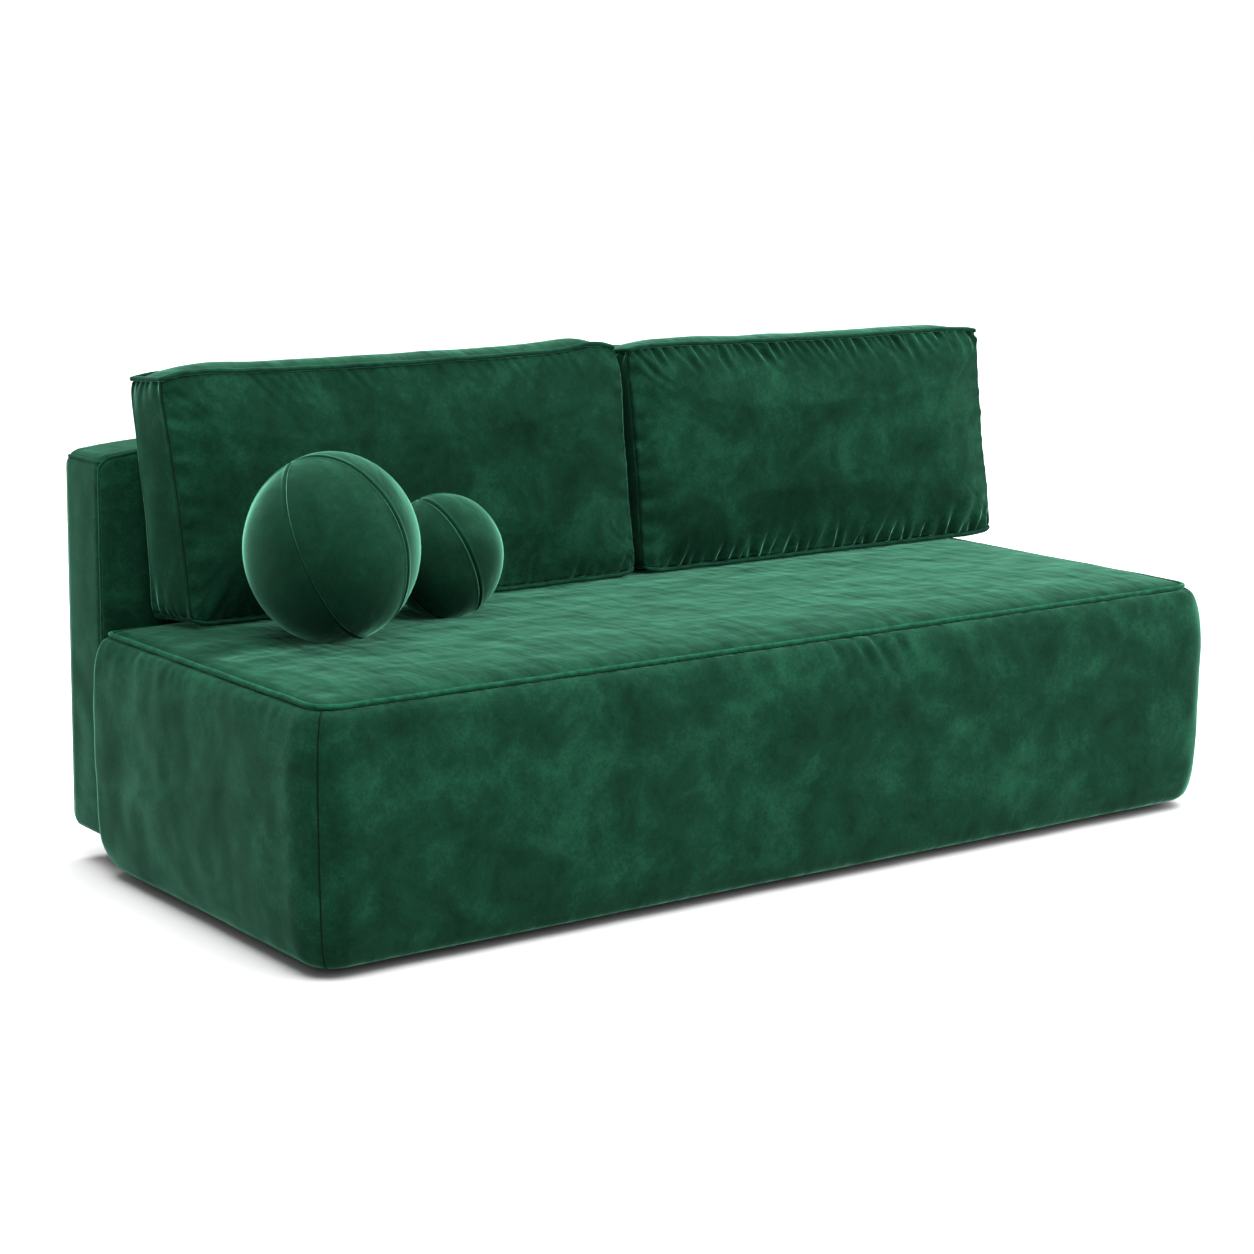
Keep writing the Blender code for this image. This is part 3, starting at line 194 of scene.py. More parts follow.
# The pale green of velvet seen along its pile
BLOOM = "86E0BC"
BLOOM_SPREAD = 0.27  # how far it reaches in from the rims
BALL_BLOOM_SPREAD = 0.33

# Ball cushions
GORES = 5
BALL_LEAN = math.radians(25)
BALL_LEAN_WAY = math.radians(147)  # towards the rear left
LARGE_BALL_TURN = math.radians(7)
SMALL_BALL_TURN = math.radians(50)
BALL_FOOT = 0.012
BALL_SLACK = 0.0015  # smaller than the frame's ball before it is stuffed
BALL_SEAM_SINK = 0.0028
BALL_SEAM_WIDTH = 0.0021
BALL_SEAM_LIP = 0.0012
BALL_PRESSURE = 30.0
BALL_STUFFING = 0.006
BALL_SWELL = (0.07, 0.0015, 4)  # size, depth and seed of its unevenness
BALL_ROWS = 72
GORE_COLUMNS = 30
GORE_CROWDING = 0.8  # the columns crowd towards the seams

# Studio
HORIZON_GLOW = 0.18
OVERHEAD_GLOW = 0.66
GLOW_RISE = 0.5  # the sine of the elevation from which the glow is full
SUN_POWER = 9.2
SUN_SPREAD = math.radians(70)
SUN_WAY = (-0.11, 0.13, -1.0)  # the way its light goes
FILL_POWER = 115.0
FILL_SIZE = 2.0
FILL_PLACE = (3.2, -2.8, 1.7)
FILL_AIM = (0.6, -0.3, 0.4)
FLOOR_REACH = 40.0


def linear(code):
    """An sRGB hex colour as linear red, green, blue and alpha."""
    channels = [int(code[i : i + 2], 16) / 255 for i in (0, 2, 4)]
    return (*[((c + 0.055) / 1.055) ** 2.4 if c > 0.04045 else c / 12.92 for c in channels], 1.0)


def plug(tree, node, sockets):
    """Gives a node's inputs their values or links."""
    for name, value in sockets.items():
        if isinstance(value, bpy.types.NodeSocket):
            tree.links.new(value, node.inputs[name])
        else:
            node.inputs[name].default_value = value


def add(tree, kind, sockets=None, **settings):
    """Adds a node. Settings are its own properties; sockets hold a value or a link for each input."""
    made = tree.nodes.new(kind)
    for name, value in settings.items():
        setattr(made, name, value)
    plug(tree, made, sockets or {})
    return made


def per_size(millimetres):
    """The scale of a texture whose marks are about this wide, on coordinates in metres."""
    return 1000.0 / millimetres


def marks(tree, where, millimetres, detail=2.0, roughness=0.5, distortion=0.0):
    """A noise whose marks are about this wide."""
    sockets = {"Vector": where, "Scale": per_size(millimetres), "Detail": detail}
    sockets |= {"Roughness": roughness, "Distortion": distortion}
    return add(tree, "ShaderNodeTexNoise", sockets).outputs["Fac"]


def mix(tree, factor, one, two):
    """The one value where the factor is 0, the other where it is 1."""
    return add(tree, "ShaderNodeMix", {"Factor": factor, "A": one, "B": two}).outputs[0]


def remap(tree, value, low, high, start=0.0, stop=1.0):
    """Low where a value is at start, high where it is at stop."""
    sockets = {"Value": value, "From Min": start, "From Max": stop, "To Min": low, "To Max": high}
    return add(tree, "ShaderNodeMapRange", sockets).outputs[0]


def relief(tree, height, strength, distance, **under):
    """The normal of a surface that rises with a height, on top of another normal if one is given."""
    sockets = {"Height": height, "Strength": strength, "Distance": distance, **under}
    return add(tree, "ShaderNodeBump", sockets).outputs[0]


def paint(tree, shader, shade, *colours):
    """Colours a shader by a shade, through stops of (place, hex colour)."""
    ramp = add(tree, "ShaderNodeValToRGB", {"Fac": shade})
    elements = ramp.color_ramp.elements
    while len(elements) < len(colours):
        elements.new(0.5)
    for element, (place, code) in zip(elements, colours):
        element.position = place
        element.color = linear(code)
    plug(tree, shader, {"Base Color": ramp.outputs["Color"]})


def start_material(name):
    """An empty material, its shader and its coordinates in metres, which move with the piece."""
    material = bpy.data.materials.new(name)
    material.use_nodes = True
    tree = material.node_tree
    shader = tree.nodes["Principled BSDF"]
    where = add(tree, "ShaderNodeTexCoord").outputs["Object"]
    return material, tree, shader, where


def raise_pile(tree, where):
    """The relief of a velvet's pile."""
    # The pile's tufts are about 0.3 mm; they are drawn at 2 mm so that they show.
    return relief(tree, marks(tree, where, 2), strength=0.12, distance=0.0006)


def set_bloom(tree, shader, weight, spread):
    """The pale rim of velvet, which has hardly any gloss."""
    sheen = {"Sheen Weight": weight, "Sheen Roughness": spread, "Sheen Tint": linear(BLOOM)}
    plug(tree, shader, {"Specular IOR Level": 0.05, **sheen})


def make_velvet(name, dark, middle, light, spread):
    """Short-pile velvet: a cloudy nap, stroke marks where it lies flat and a pale bloom at the rims."""
    material, tree, shader, where = start_material(name)
    patches = marks(tree, where, 110, detail=5.0, roughness=0.66, distortion=0.4)
    swells = marks(tree, where, 150, detail=1.0)
    turned = add(
        tree,
        "ShaderNodeMapping",
        {"Vector": where, "Rotation": (0.5, 0.35, 0.6), "Scale": (1.0, 0.35, 0.6)},
    )
    strokes = marks(tree, turned.outputs[0], 38)
    curls = marks(tree, where, 9, roughness=0.6, distortion=1.5)
    facing = add(tree, "ShaderNodeTexCoord").outputs["Normal"]
    facing_up = add(tree, "ShaderNodeSeparateXYZ", {"Vector": facing}).outputs["Z"]
    lying = add(tree, "ShaderNodeMath", {0: facing_up}, operation="ABSOLUTE").outputs[0]
    nap = mix(tree, remap(tree, lying, low=0.12, high=0.42), patches, strokes)
    paint(tree, shader, mix(tree, 0.28, nap, curls), (0.34, dark), (0.5, middle), (0.66, light))
    height = mix(tree, remap(tree, lying, low=0.03, high=0.5), swells, strokes)
    ripple = relief(tree, height, strength=0.9, distance=0.012, Normal=raise_pile(tree, where))
    rough = remap(tree, nap, low=0.95, high=0.8, start=0.35, stop=0.65)
    plug(tree, shader, {"Roughness": rough, "Normal": ripple})
    set_bloom(tree, shader, 1.0, spread)
    return material


def make_piping_velvet(name, dark, light, bloom):
    """Velvet drawn tight round a cord, as a two-tone mottle; its lighter copy carries painted highlight and
    its darker copy painted shade.
    """
    material, tree, shader, where = start_material(name)
    paint(tree, shader, marks(tree, where, 14, detail=4.0), (0.35, dark), (0.65, light))
    plug(tree, shader, {"Roughness": 0.8, "Normal": raise_pile(tree, where)})
    set_bloom(tree, shader, bloom, BLOOM_SPREAD)
    return material


def make_seam_shade_cord():
    """A nearly black cord laid in the seams as painted shade of their grooves: dull, with a twist just
    showing.
    """
    material, tree, shader, where = start_material("painted_seam_shade")
    # The twist is about 0.4 mm; it is drawn at 1.5 mm so that it shows.
    paint(tree, shader, marks(tree, where, 1.5), (0.35, "010B06"), (0.65, "03150D"))
    plug(tree, shader, {"Roughness": 0.85, "Specular IOR Level": 0.1})
    return material


def make_wood(name, dark, light, grain_mm, run, roughness):
    """Sawn and sanded wood: long soft grain lines along the board, in colour and in faint relief."""
    material, tree, shader, where = start_material(name)
    stretch = [1.0, 1.0, 1.0]
    stretch[run] = 0.08
    along = add(tree, "ShaderNodeMapping", {"Vector": where, "Scale": stretch})
    grain = marks(tree, along.outputs[0], grain_mm, detail=5.0, distortion=0.8)
    paint(tree, shader, grain, (0.35, dark), (0.62, light))
    raised = relief(tree, grain, strength=0.15, distance=0.001)
    plug(tree, shader, {"Roughness": roughness, "Normal": raised})
    return material


def make_steel():
    """Zinc-plated pressed steel: a cool grey with faint crystalline clouding, also in its gloss."""
    material, tree, shader, where = start_material("zinc_plated_steel")
    cells = add(tree, "ShaderNodeTexVoronoi", {"Vector": where, "Scale": per_size(7)})
    spangle = cells.outputs["Distance"]
    paint(tree, shader, spangle, (0.1, "B4B8BB"), (0.8, "9A9EA2"))
    plug(tree, shader, {"Roughness": remap(tree, spangle, low=0.32, high=0.45), "Metallic": 1.0})
    return material


def make_plastic():
    """Moulded black polypropylene: a fine spark-eroded grain that breaks up its dull gloss."""
    material, tree, shader, where = start_material("moulded_polypropylene")
    grit = marks(tree, where, 0.8)
    paint(tree, shader, grit, (0.3, "161617"), (0.7, "202022"))
    plug(tree, shader, {"Roughness": 0.5, "Normal": relief(tree, grit, strength=0.2, distance=0.0003)})
    return material


def make_piece(name, points, faces, material):
    """A smooth mesh object with its faces turned outwards."""
    data = bpy.data.meshes.new(name)
    data.from_pydata([tuple(point) for point in points], [], faces)
    shape = bmesh.new()
    shape.from_mesh(data)
    bmesh.ops.recalc_face_normals(shape, faces=shape.faces)
    shape.to_mesh(data)
    shape.free()
    data.materials.append(material)
    data.shade_smooth()
    made = bpy.data.objects.new(name, data)
    bpy.context.scene.collection.objects.link(made)
    return made


def read_rows(items, key):
    """One value of each item, as rows of x, y and z."""
    rows = np.empty(len(items) * 3)
    items.foreach_get(key, rows)
    return rows.reshape(-1, 3)


def get_points(piece):
    """A mesh's points."""
    return read_rows(piece.data.vertices, "co")


def set_points(piece, points):
    """Moves a mesh's points."""
    piece.data.vertices.foreach_set("co", np.asarray(points, dtype=np.float32).ravel())
    piece.data.update()


def get_surface(piece):
    """Where the piece's own points lie on its finished surface, which keeps them first and in order."""
    done = piece.evaluated_get(bpy.context.evaluated_depsgraph_get())
    return np.array([vertex.co for vertex in done.data.vertices[: len(piece.data.vertices)]])


def smooth_mesh(piece):
    """One subdivision, as on a finely sewn surface."""
    step = piece.modifiers.new("finer", "SUBSURF")
    step.levels = 1
    step.render_levels = 1


def spaced(length, step):
    """Shares from 0 to 1 along a length: fine rows next to the seams at both ends, even ones between."""
    ends = np.cumsum((0.0,) + SEAM_STEPS)
    count = max(2, round((length - 2 * ends[-1]) / step))
    middle = np.linspace(ends[-1], length - ends[-1], count + 1)
    return np.concatenate([ends[:-1], middle, length - ends[-2::-1]]) / length


def run_along(line):
    """How far along a line each of its points lies."""
    return np.concatenate([[0], np.cumsum(np.linalg.norm(np.diff(line, axis=0), axis=1))])


def border_loop(across, up):
    """Grid places round the edge of a panel: bottom row, right column, top row, left column."""
    loop = [(i, 0) for i in range(across)] + [(across, j) for j in range(up)]
    return loop + [(i, up) for i in range(across, 0, -1)] + [(0, j) for j in range(up, 0, -1)]


def boxed(front, rings, rear=None):
    """Points and faces of a front panel, a border of rings and a rear panel, or a plain cap."""
    across, up = front.shape[0] - 1, front.shape[1] - 1
    loop = border_loop(across, up)
    size = (across + 1) * (up + 1)
    points = [front.reshape(-1, 3)] + list(rings)
    starts = [size + len(loop) * r for r in range(len(rings))]
    strips = [[i * (up + 1) + j for i, j in loop]]
    strips += [list(range(start, start + len(loop))) for start in starts]
    grids = [0]
    if rear is not None:
        begin = size + len(loop) * len(rings)
        points.append(rear.reshape(-1, 3))
        strips.append([begin + i * (up + 1) + j for i, j in loop])
        grids.append(begin)
    faces = []
    for begin in grids:
        for i in range(across):
            for j in range(up):
                a = begin + i * (up + 1) + j
                faces.append((a, a + up + 1, a + up + 2, a + 1))
    for one, two in zip(strips, strips[1:]):
        for k in range(len(loop)):
            n = (k + 1) % len(loop)
            faces.append((one[k], one[n], two[n], two[k]))
    if rear is None:
        faces.append(tuple(strips[-1]))
    return np.concatenate(points), faces, strips


def tube_faces(rings, sides, closed=False, capped=True):
    """Faces of a tube, ring after ring of points: closed into a loop, or open, with caps or without."""
    faces = []
    for k in range(rings if closed else rings - 1):
        n = (k + 1) % rings
        for t in range(sides):
            after = (t + 1) % sides
            faces.append((k * sides + t, k * sides + after, n * sides + after, n * sides + t))
    if capped and not closed:
        faces += [tuple(range(sides)), tuple(range((rings - 1) * sides, rings * sides))]
    return faces


def sweep(name, path, radius, material, up=(0.0, 0.0, 1.0), closed=True):
    """A welt: a round cord of cloth along a path that keeps out of the upward direction."""
    path = np.asarray(path)
    along = np.roll(path, -1, axis=0) - np.roll(path, 1, axis=0)
    if not closed:
        along[0] = path[1] - path[0]
        along[-1] = path[-1] - path[-2]
    along /= np.linalg.norm(along, axis=1)[:, None]
    side = np.cross(along, up)
    side /= np.linalg.norm(side, axis=1)[:, None]
    top = np.cross(side, along)
    turns = np.linspace(0, 2 * math.pi, CORD_SIDES, endpoint=False)
    rims = []
    for p, s, n in zip(path, side, top):
        rims += [p + radius * (s * math.cos(t) + n * math.sin(t)) for t in turns]
    return make_piece(name, rims, tube_faces(len(path), CORD_SIDES, closed), material)


def bell(x):
    """A smooth hump, 1 high at 0 and nearly gone at 2."""
    return np.exp(-(x**2))


def rumple(points, size, depth, seed):
    """A soft uneven height at each point, from a noise whose swells are about this size in metres."""
    shift = Vector([seed * step for step in NOISE_SHIFT])
    return np.array([noise.noise(Vector(point) / size + shift) for point in points]) * depth


def gathers(draw, length, spacing, reach, depth, slant):
    """Folds along a seam, each with its place, reach, depth, half width and slant."""
    folds = []
    place = spacing * draw.uniform(*FIRST_FOLD)
    while place < length:
        width = max(FOLD_NARROWEST, spacing * draw.uniform(*FOLD_WIDTHS))
        lean = slant + draw.uniform(*FOLD_LEANS)
        far = reach * draw.uniform(*FOLD_REACHES)
        folds.append((place, far, depth * draw.uniform(*FOLD_DEPTHS), width, lean))
        place += spacing * draw.uniform(*FOLD_SPACINGS)
    return folds


def gathered(folds, along, away):
    """How far the cloth dips at points this far along a seam and away from it."""
    dip = np.zeros_like(along)
    for place, reach, depth, width, lean in folds:
        fade = np.clip(1 - away / reach, 0, 1) ** FOLD_FADE * (1 - np.exp(-away / FOLD_START))
        across = (along - place - lean * away) / (width * (1 + away / reach))
        dip += depth * fade * (bell(across) - FOLD_LIP * bell(np.abs(across) - FOLD_LIP_AWAY))
    return dip


def seam_groove(away, sink=SEAM_SINK, width=SEAM_WIDTH, lip=SEAM_LIP):
    """How far the cloth sinks at points this far from a plain seam: a notch between two soft lips."""
    return sink * bell(away / width) - lip * bell((away - SEAM_LIP_AWAY) / SEAM_LIP_WIDTH)


def stuff(piece, seams, pressure, cap):
    """Blows a sewn cover up like a stuffed one by cloth simulation, held at its seams."""
    scene = bpy.context.scene
    before = get_points(piece)
    held = piece.vertex_groups.new(name="seams")
    held.add([int(index) for index in seams], 1.0, "REPLACE")
    cloth = piece.modifiers.new("stuffing", "CLOTH")
    cloth.settings.vertex_group_mass = "seams"
    cloth.settings.use_pressure = True
    cloth.settings.uniform_pressure_force = pressure
    cloth.settings.effector_weights.gravity = 0
    cloth.settings.quality = 5
    cloth.settings.tension_stiffness = 5
    cloth.settings.compression_stiffness = 5
    cloth.settings.shear_stiffness = 2
    cloth.settings.bending_stiffness = 0.3
    cloth.collision_settings.use_collision = False
    for step in range(1, STUFFING_FRAMES + 1):
        scene.frame_set(step)
    after = get_surface(piece)
    piece.modifiers.remove(cloth)
    piece.vertex_groups.remove(held)
    scene.frame_set(1)
    move = after - before
    length = np.linalg.norm(move, axis=1)
    share = np.minimum(1.0, cap / np.maximum(length, 1e-9))
    set_points(piece, before + move * share[:, None])


class Seat:
    """Sizes of the seat block, from the frame."""

    def __init__(self):
        low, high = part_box("seat_piping")
        self.half = high.x
        self.front = low.y
        self.rear = high.y
        self.top = high.z
        self.welt = (high.z - low.z) / 2
        self.inset = SEAT_INSET * self.welt
        self.depth = self.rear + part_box("back_front_pad")[0].y - high.y - low.y
        self.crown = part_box("seat_top_pad")[1].z - self.top
        low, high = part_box("front_skirt")
        self.underside = low.z
        self.bulge = self.front - low.y
        self.skirt_top = high.z
        self.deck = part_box("seat_deck")[1].z

    def crown_at(self, x, y):
        """Height of the top panel: it rises fast from the piping, then lies nearly flat."""
        u = np.abs(x) / self.half
        v = np.abs(2 * (y - self.front) / self.depth - 1)
        return self.top + self.crown * np.maximum(0.0, (1 - u**SEAT_FLAT_ACROSS) * (1 - v**SEAT_FLAT_DEEP))

    def trim_at(self, y):
        """How far the corners of the top panel are rounded off at a place along its depth."""
        trim = round_off(self.front + SEAT_CORNER - y, SEAT_CORNER - self.inset)
        return trim + round_off(y - self.rear + self.inset + SEAT_REAR_CORNER, SEAT_REAR_CORNER)

    def height(self, x, y):
        """Height of the top panel with its soft unevenness, which dies out at the piping."""
        side = self.half - self.inset - self.trim_at(y) - np.abs(x)
        end = np.minimum(y - self.front, self.rear - y) - self.inset
        edge = np.maximum(np.minimum(side, end), 0.0)
        plan = np.stack([x, y, np.zeros_like(x)], 1)
        uneven = rumple(plan * SEAT_SWELL_STRETCH, *SEAT_SWELL)
        uneven = uneven + rumple(plan * SEAT_RIPPLE_STRETCH, *SEAT_RIPPLE)
        turned_in = SEAT_ROLL * np.exp(-edge / SEAT_ROLL_WIDTH)
        return self.crown_at(x, y) - turned_in + np.clip(edge / SEAT_CALM, 0, 1) * uneven


def round_off(past, radius):
    """How far a rounded corner has turned in, at a distance past the start of its arc."""
    past = np.clip(past, 0.0, radius)
    return radius - np.sqrt(radius**2 - past**2)


def make_seat_top(seat, velvet):
    """The crowned top panel over its foam, sewn into the piping all round."""
    low_y, high_y = seat.front + seat.inset, seat.rear - seat.inset
    half = seat.half - seat.inset
    u = spaced(2 * half, PANEL_STEP) * 2 - 1
    v = spaced(high_y - low_y, PANEL_STEP)
    y = low_y + (high_y - low_y) * v
    x = u[:, None] * (half - seat.trim_at(y))[None, :]
    y = np.broadcast_to(y, x.shape)
    z = seat.height(x.reshape(-1), y.reshape(-1)).reshape(x.shape)
    front = np.stack([x, y, z], axis=2)
    loop = border_loop(len(u) - 1, len(v) - 1)
    rim = np.array([front[i, j] for i, j in loop])
    inward = np.array([1 - SKIRT_PAD / seat.half, 1 - SKIRT_PAD / (seat.depth / 2), 1.0])
    middle = np.array([0.0, (seat.front + seat.rear) / 2, 0.0])
    rings = [rim * (1, 1, 0) + (0, 0, seat.skirt_top + LIFT)]
    shelf = (rings[0] - middle) * inward + middle
    shelf[:, 1] = np.where(rim[:, 1] > seat.rear - 2 * SEAT_REAR_CORNER, rings[0][:, 1], shelf[:, 1])
    rings.append(shelf)
    rings.append(shelf * (1, 1, 0) + (0, 0, seat.deck + LIFT))
    points, faces, _ = boxed(front, rings)
    return make_piece("seat_top_cover", points, faces, velvet)


def skirt_outline(seat):
    """Outer line of the skirt from the piping down, as even steps of (offset out, z)."""
    fullest = seat.underside + SKIRT_FULLEST * (seat.skirt_top - seat.underside)
    t = np.sin(np.linspace(math.pi / 2, 0, SKIRT_LINE_POINTS))
    upper = -seat.welt + (seat.bulge + seat.welt) * np.cbrt(1 - t**3)
    upper_z = fullest + t * (seat.skirt_top - fullest)
    t = t[::-1]
    lower = -SKIRT_TUCK + (seat.bulge + SKIRT_TUCK) * (1 - t**4) ** 0.25
    lower_z = fullest - t * (fullest - seat.underside)
    line = np.concatenate([np.stack([upper, upper_z], 1), np.stack([lower, lower_z], 1)[1:]])
    run = run_along(line)
    even = run[-1] * spaced(run[-1], PANEL_STEP)
    return np.stack([np.interp(even, run, line[:, 0]), np.interp(even, run, line[:, 1])], 1), even


def skirt_path(seat):
    """Stations along the piping line from the rear left to the rear right: x, y, outward x and y, run."""
    side = seat.rear - seat.front - SEAT_CORNER
    straight = 2 * (seat.half - SEAT_CORNER)
    quarter = SEAT_CORNER * math.pi / 2
    total = 2 * side + 2 * quarter + straight
    seam = side + quarter / 2
    run = np.linspace(0, total, round(total / PANEL_STEP) + 1)
    for place in (seam, total - seam):
        run = run[np.abs(run - place) > SKIRT_SEAM_CLEAR]
        run = np.concatenate([run, place + np.array(SKIRT_SEAM_ROWS)])
    ends = SKIRT_END_STEP * np.arange(SKIRT_END_ROWS)
    run = np.unique(np.concatenate([run, total - ends, ends]))
    stations = []
    for s in run:
        mirror = 1.0
        d = s
        if s > total / 2:
            mirror = -1.0
            d = total - s
        if d < side:
            x, y, out_x, out_y = -seat.half, seat.rear - d, -1.0, 0.0
        elif d < side + quarter:
            turn = (d - side) / SEAT_CORNER
            out_x, out_y = -math.cos(turn), -math.sin(turn)
            x = -seat.half + SEAT_CORNER + SEAT_CORNER * out_x
            y = seat.front + SEAT_CORNER + SEAT_CORNER * out_y
        else:
            x, y, out_x, out_y = -seat.half + SEAT_CORNER + d - side - quarter, seat.front, 0.0, -1.0
        stations.append((x * mirror, y, out_x * mirror, out_y, s))
    return np.array(stations), (seam, total - seam)


def make_seat_skirt(seat, velvet, seam_shade):
    """The padded wall round the front and sides, with an upright seam at each front corner."""
    outline, depth = skirt_outline(seat)
    stations, seams = skirt_path(seat)
    folds = gathers(random.Random(SKIRT_SEED), stations[-1, 4], *SKIRT_GATHERS)
    middle = stations[-1, 4] / 2
    folds += [(middle + x, *FRONT_FOLD, lean) for x, lean in FRONT_FOLDS]
    rows = len(outline)
    grid = np.zeros((len(stations), rows, 3))
    for k, (x, y, out_x, out_y, s) in enumerate(stations):
        pull = round_off(y - (seat.rear - SKIRT_END_ROUND), SKIRT_END_ROUND)
        heel = np.clip(1 - (outline[:, 1] - seat.underside) / SKIRT_HEEL, 0, 1) ** 2
        pull = pull + SKIRT_HEEL_DEPTH * heel * np.clip(1 - (seat.rear - y) / SKIRT_HEEL, 0, 1) ** 2
        fuller = SKIRT_FULLER * abs(out_x) * np.clip(1 - (2 * depth / depth[-1] - 1) ** 4, 0, 1)
        offset = np.maximum(outline[:, 0] + fuller - pull, SKIRT_THINNEST - SKIRT_PAD)
        seam = min(abs(s - place) for place in seams)
        offset = offset - seam_groove(np.full(rows, seam)) * np.clip(depth / SKIRT_SEAM_TOP, 0, 1)
        offset = offset - gathered(folds, np.full(rows, s), depth)
        grid[k] = np.stack([x + out_x * offset, y + out_y * offset, outline[:, 1]], 1)
    flat = grid.reshape(-1, 3)
    calm = np.clip(depth / SKIRT_CALM, 0, 1) * np.clip((depth[-1] - depth) / SKIRT_CALM, 0, 1)
    swell = (rumple(flat, *SKIRT_SWELL) + rumple(flat, *SKIRT_RIPPLE)) * np.tile(calm, len(stations))
    outward = np.repeat(np.stack([stations[:, 2], stations[:, 3], np.zeros(len(stations))], 1), rows, axis=0)
    flat += outward * swell[:, None]
    # Nearly black cords laid in the corner seams: painted shade of the seam grooves.
    cords = []
    for label, place in zip(("left", "right"), seams):
        k = int(np.argmin(np.abs(stations[:, 4] - place)))
        out = np.array([stations[k, 2], stations[k, 3], 0.0])
        tangent = (-out[1], out[0], 0.0)
        line = grid[k] + out * SEAM_SHADE_CORD
        cords.append(sweep(f"seat_{label}_corner_seam", line, SEAM_SHADE_CORD, seam_shade, tangent, False))
    inner = stations[:, :2] - stations[:, 2:4] * SKIRT_PAD
    wall = np.zeros((len(stations), 2, 3))
    for row, z in enumerate((seat.underside, seat.skirt_top)):
        wall[:, row] = np.concatenate([inner, np.full((len(inner), 1), z)], 1)
    grid = np.concatenate([grid, wall], axis=1)
    faces = tube_faces(len(stations), grid.shape[1])
    return [make_piece("seat_skirt_cover", grid.reshape(-1, 3), faces, velvet)] + cords


def make_seat_welt(seat, velvet):
    """The piping round the seat's top edge."""
    path = []
    inset = seat.welt
    corners = (
        (-1, -1, SEAT_CORNER - inset, 180),
        (1, -1, SEAT_CORNER - inset, 270),
        (1, 1, SEAT_REAR_CORNER, 0),
        (-1, 1, SEAT_REAR_CORNER, 90),
    )
    for side, end, radius, start in corners:
        centre_x = side * (seat.half - inset - radius)
        centre_y = (seat.front + inset + radius) if end < 0 else (seat.rear - inset - radius)
        for turn in np.radians(np.linspace(start, start + 90, SEAT_WELT_TURN)):
            path.append((centre_x + radius * math.cos(turn), centre_y + radius * math.sin(turn)))
    path.append(path[0])
    path = np.array(path)
    run = run_along(path)
    even = np.linspace(0, run[-1], round(run[-1] / PANEL_STEP))[:-1]
    height = np.full(len(even), seat.top - seat.welt + SEAT_WELT_PROUD)
    line = np.stack([np.interp(even, run, path[:, 0]), np.interp(even, run, path[:, 1]), height], 1)
    line[:, 2] += rumple(line, *SEAT_WELT_SWELL)
    return sweep("seat_welt", line, seat.welt, velvet)


def make_slab(velvet, welt_velvet):
    """The back slab's cover, and the fine welts along its seams."""
    low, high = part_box("back_front_pad")
    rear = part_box("back_rear_pad")[1].y
    half = high.x
    crest = high.z - SLAB_TOP_CROWN
    u = spaced(2 * half, SLAB_STEP) * 2 - 1
    v = spaced(high.z - low.z, SLAB_STEP)

    def panel(inset, y, crown):
        """The slab's front view, inset all round, as a grid at one depth."""
        reach = half - inset
        bottom, shoulder = low.z + inset, crest - inset
        z = bottom + (shoulder - bottom) * v
        trim = round_off(bottom + SLAB_CORNER - z, SLAB_CORNER)
        trim = trim + round_off(z - shoulder + SLAB_CORNER, SLAB_CORNER)
        flare = SLAB_FLARE * (1 - v)
        x = u[:, None] * (reach + flare - trim)[None, :]
        level = 1 - (np.abs(x) / (reach + SLAB_FLARE)) ** SLAB_TOP_FLAT
        rise = SLAB_TOP_CROWN * level * v[None, :] ** SLAB_TOP_RISE
        z = np.broadcast_to(z, x.shape) + rise
        swell = crown * (1 - np.abs(u[:, None]) ** SLAB_FLAT_ACROSS)
        swell = swell * (1 - np.abs(2 * v[None, :] - 1) ** SLAB_FLAT_UP)
        return np.stack([x, y + swell, z], axis=2)

    loop = border_loop(len(u) - 1, len(v) - 1)

    def around(inset, y):
        """The edge of that grid, as one ring of the border."""
        grid = panel(inset, y, 0.0)
        return np.array([grid[i, j] for i, j in loop])

    turns = np.linspace(0, math.pi / 2, SLAB_EDGE_ROWS + 1)[1:]
    face = rear - SLAB_FACE_CROWN
    notch = [SLAB_NOTCH if math.isclose(t, math.pi / 4) else 0.0 for t in turns]
    near = []
    for t, n in zip(turns, notch):
        near.append((SLAB_EDGE * (1 - math.sin(t)) + n, SLAB_EDGE * (1 - math.cos(t)) + n))
    levels = [(inset, low.y + back) for inset, back in near]
    levels += [(0.0, y) for y in np.linspace(low.y + SLAB_EDGE, face - SLAB_EDGE, SLAB_BORDER_ROWS)[1:]]
    levels += [(inset, face - back) for inset, back in near[-2::-1]]
    rings = [around(inset, y) for inset, y in levels]
    points, faces, _ = boxed(panel(SLAB_EDGE, low.y, 0.0), rings, panel(SLAB_EDGE, face, SLAB_FACE_CROWN))
    pieces = [make_piece("back_slab_cover", points, faces, velvet)]
    turned = SLAB_EDGE * (1 - math.sqrt(0.5))
    for label, y in (("front", low.y + turned), ("rear", face - turned)):
        path = around(turned, y)
        keep = np.linalg.norm(path - np.roll(path, 1, axis=0), axis=1) > SLAB_WELT_SHORTEST
        pieces.append(sweep(f"back_slab_{label}_welt", path[keep], SLAB_WELT, welt_velvet, (0.0, 1.0, 0.0)))
    across = len(u) - 1
    shoulder = crest - SLAB_CORNER * (1 - math.sqrt(0.5))
    row = int(np.argmin(np.abs(low.z + (crest - low.z) * v - shoulder)))
    seam_row = SLAB_EDGE_ROWS // 2
    for label, column in (("left", 0), ("right", across)):
        path = [panel(inset, y, 0.0)[column, row] for inset, y in levels[seam_row:-seam_row]]
        pieces.append(sweep(f"back_slab_{label}_seam", path, SLAB_WELT, welt_velvet, closed=False))
    return pieces


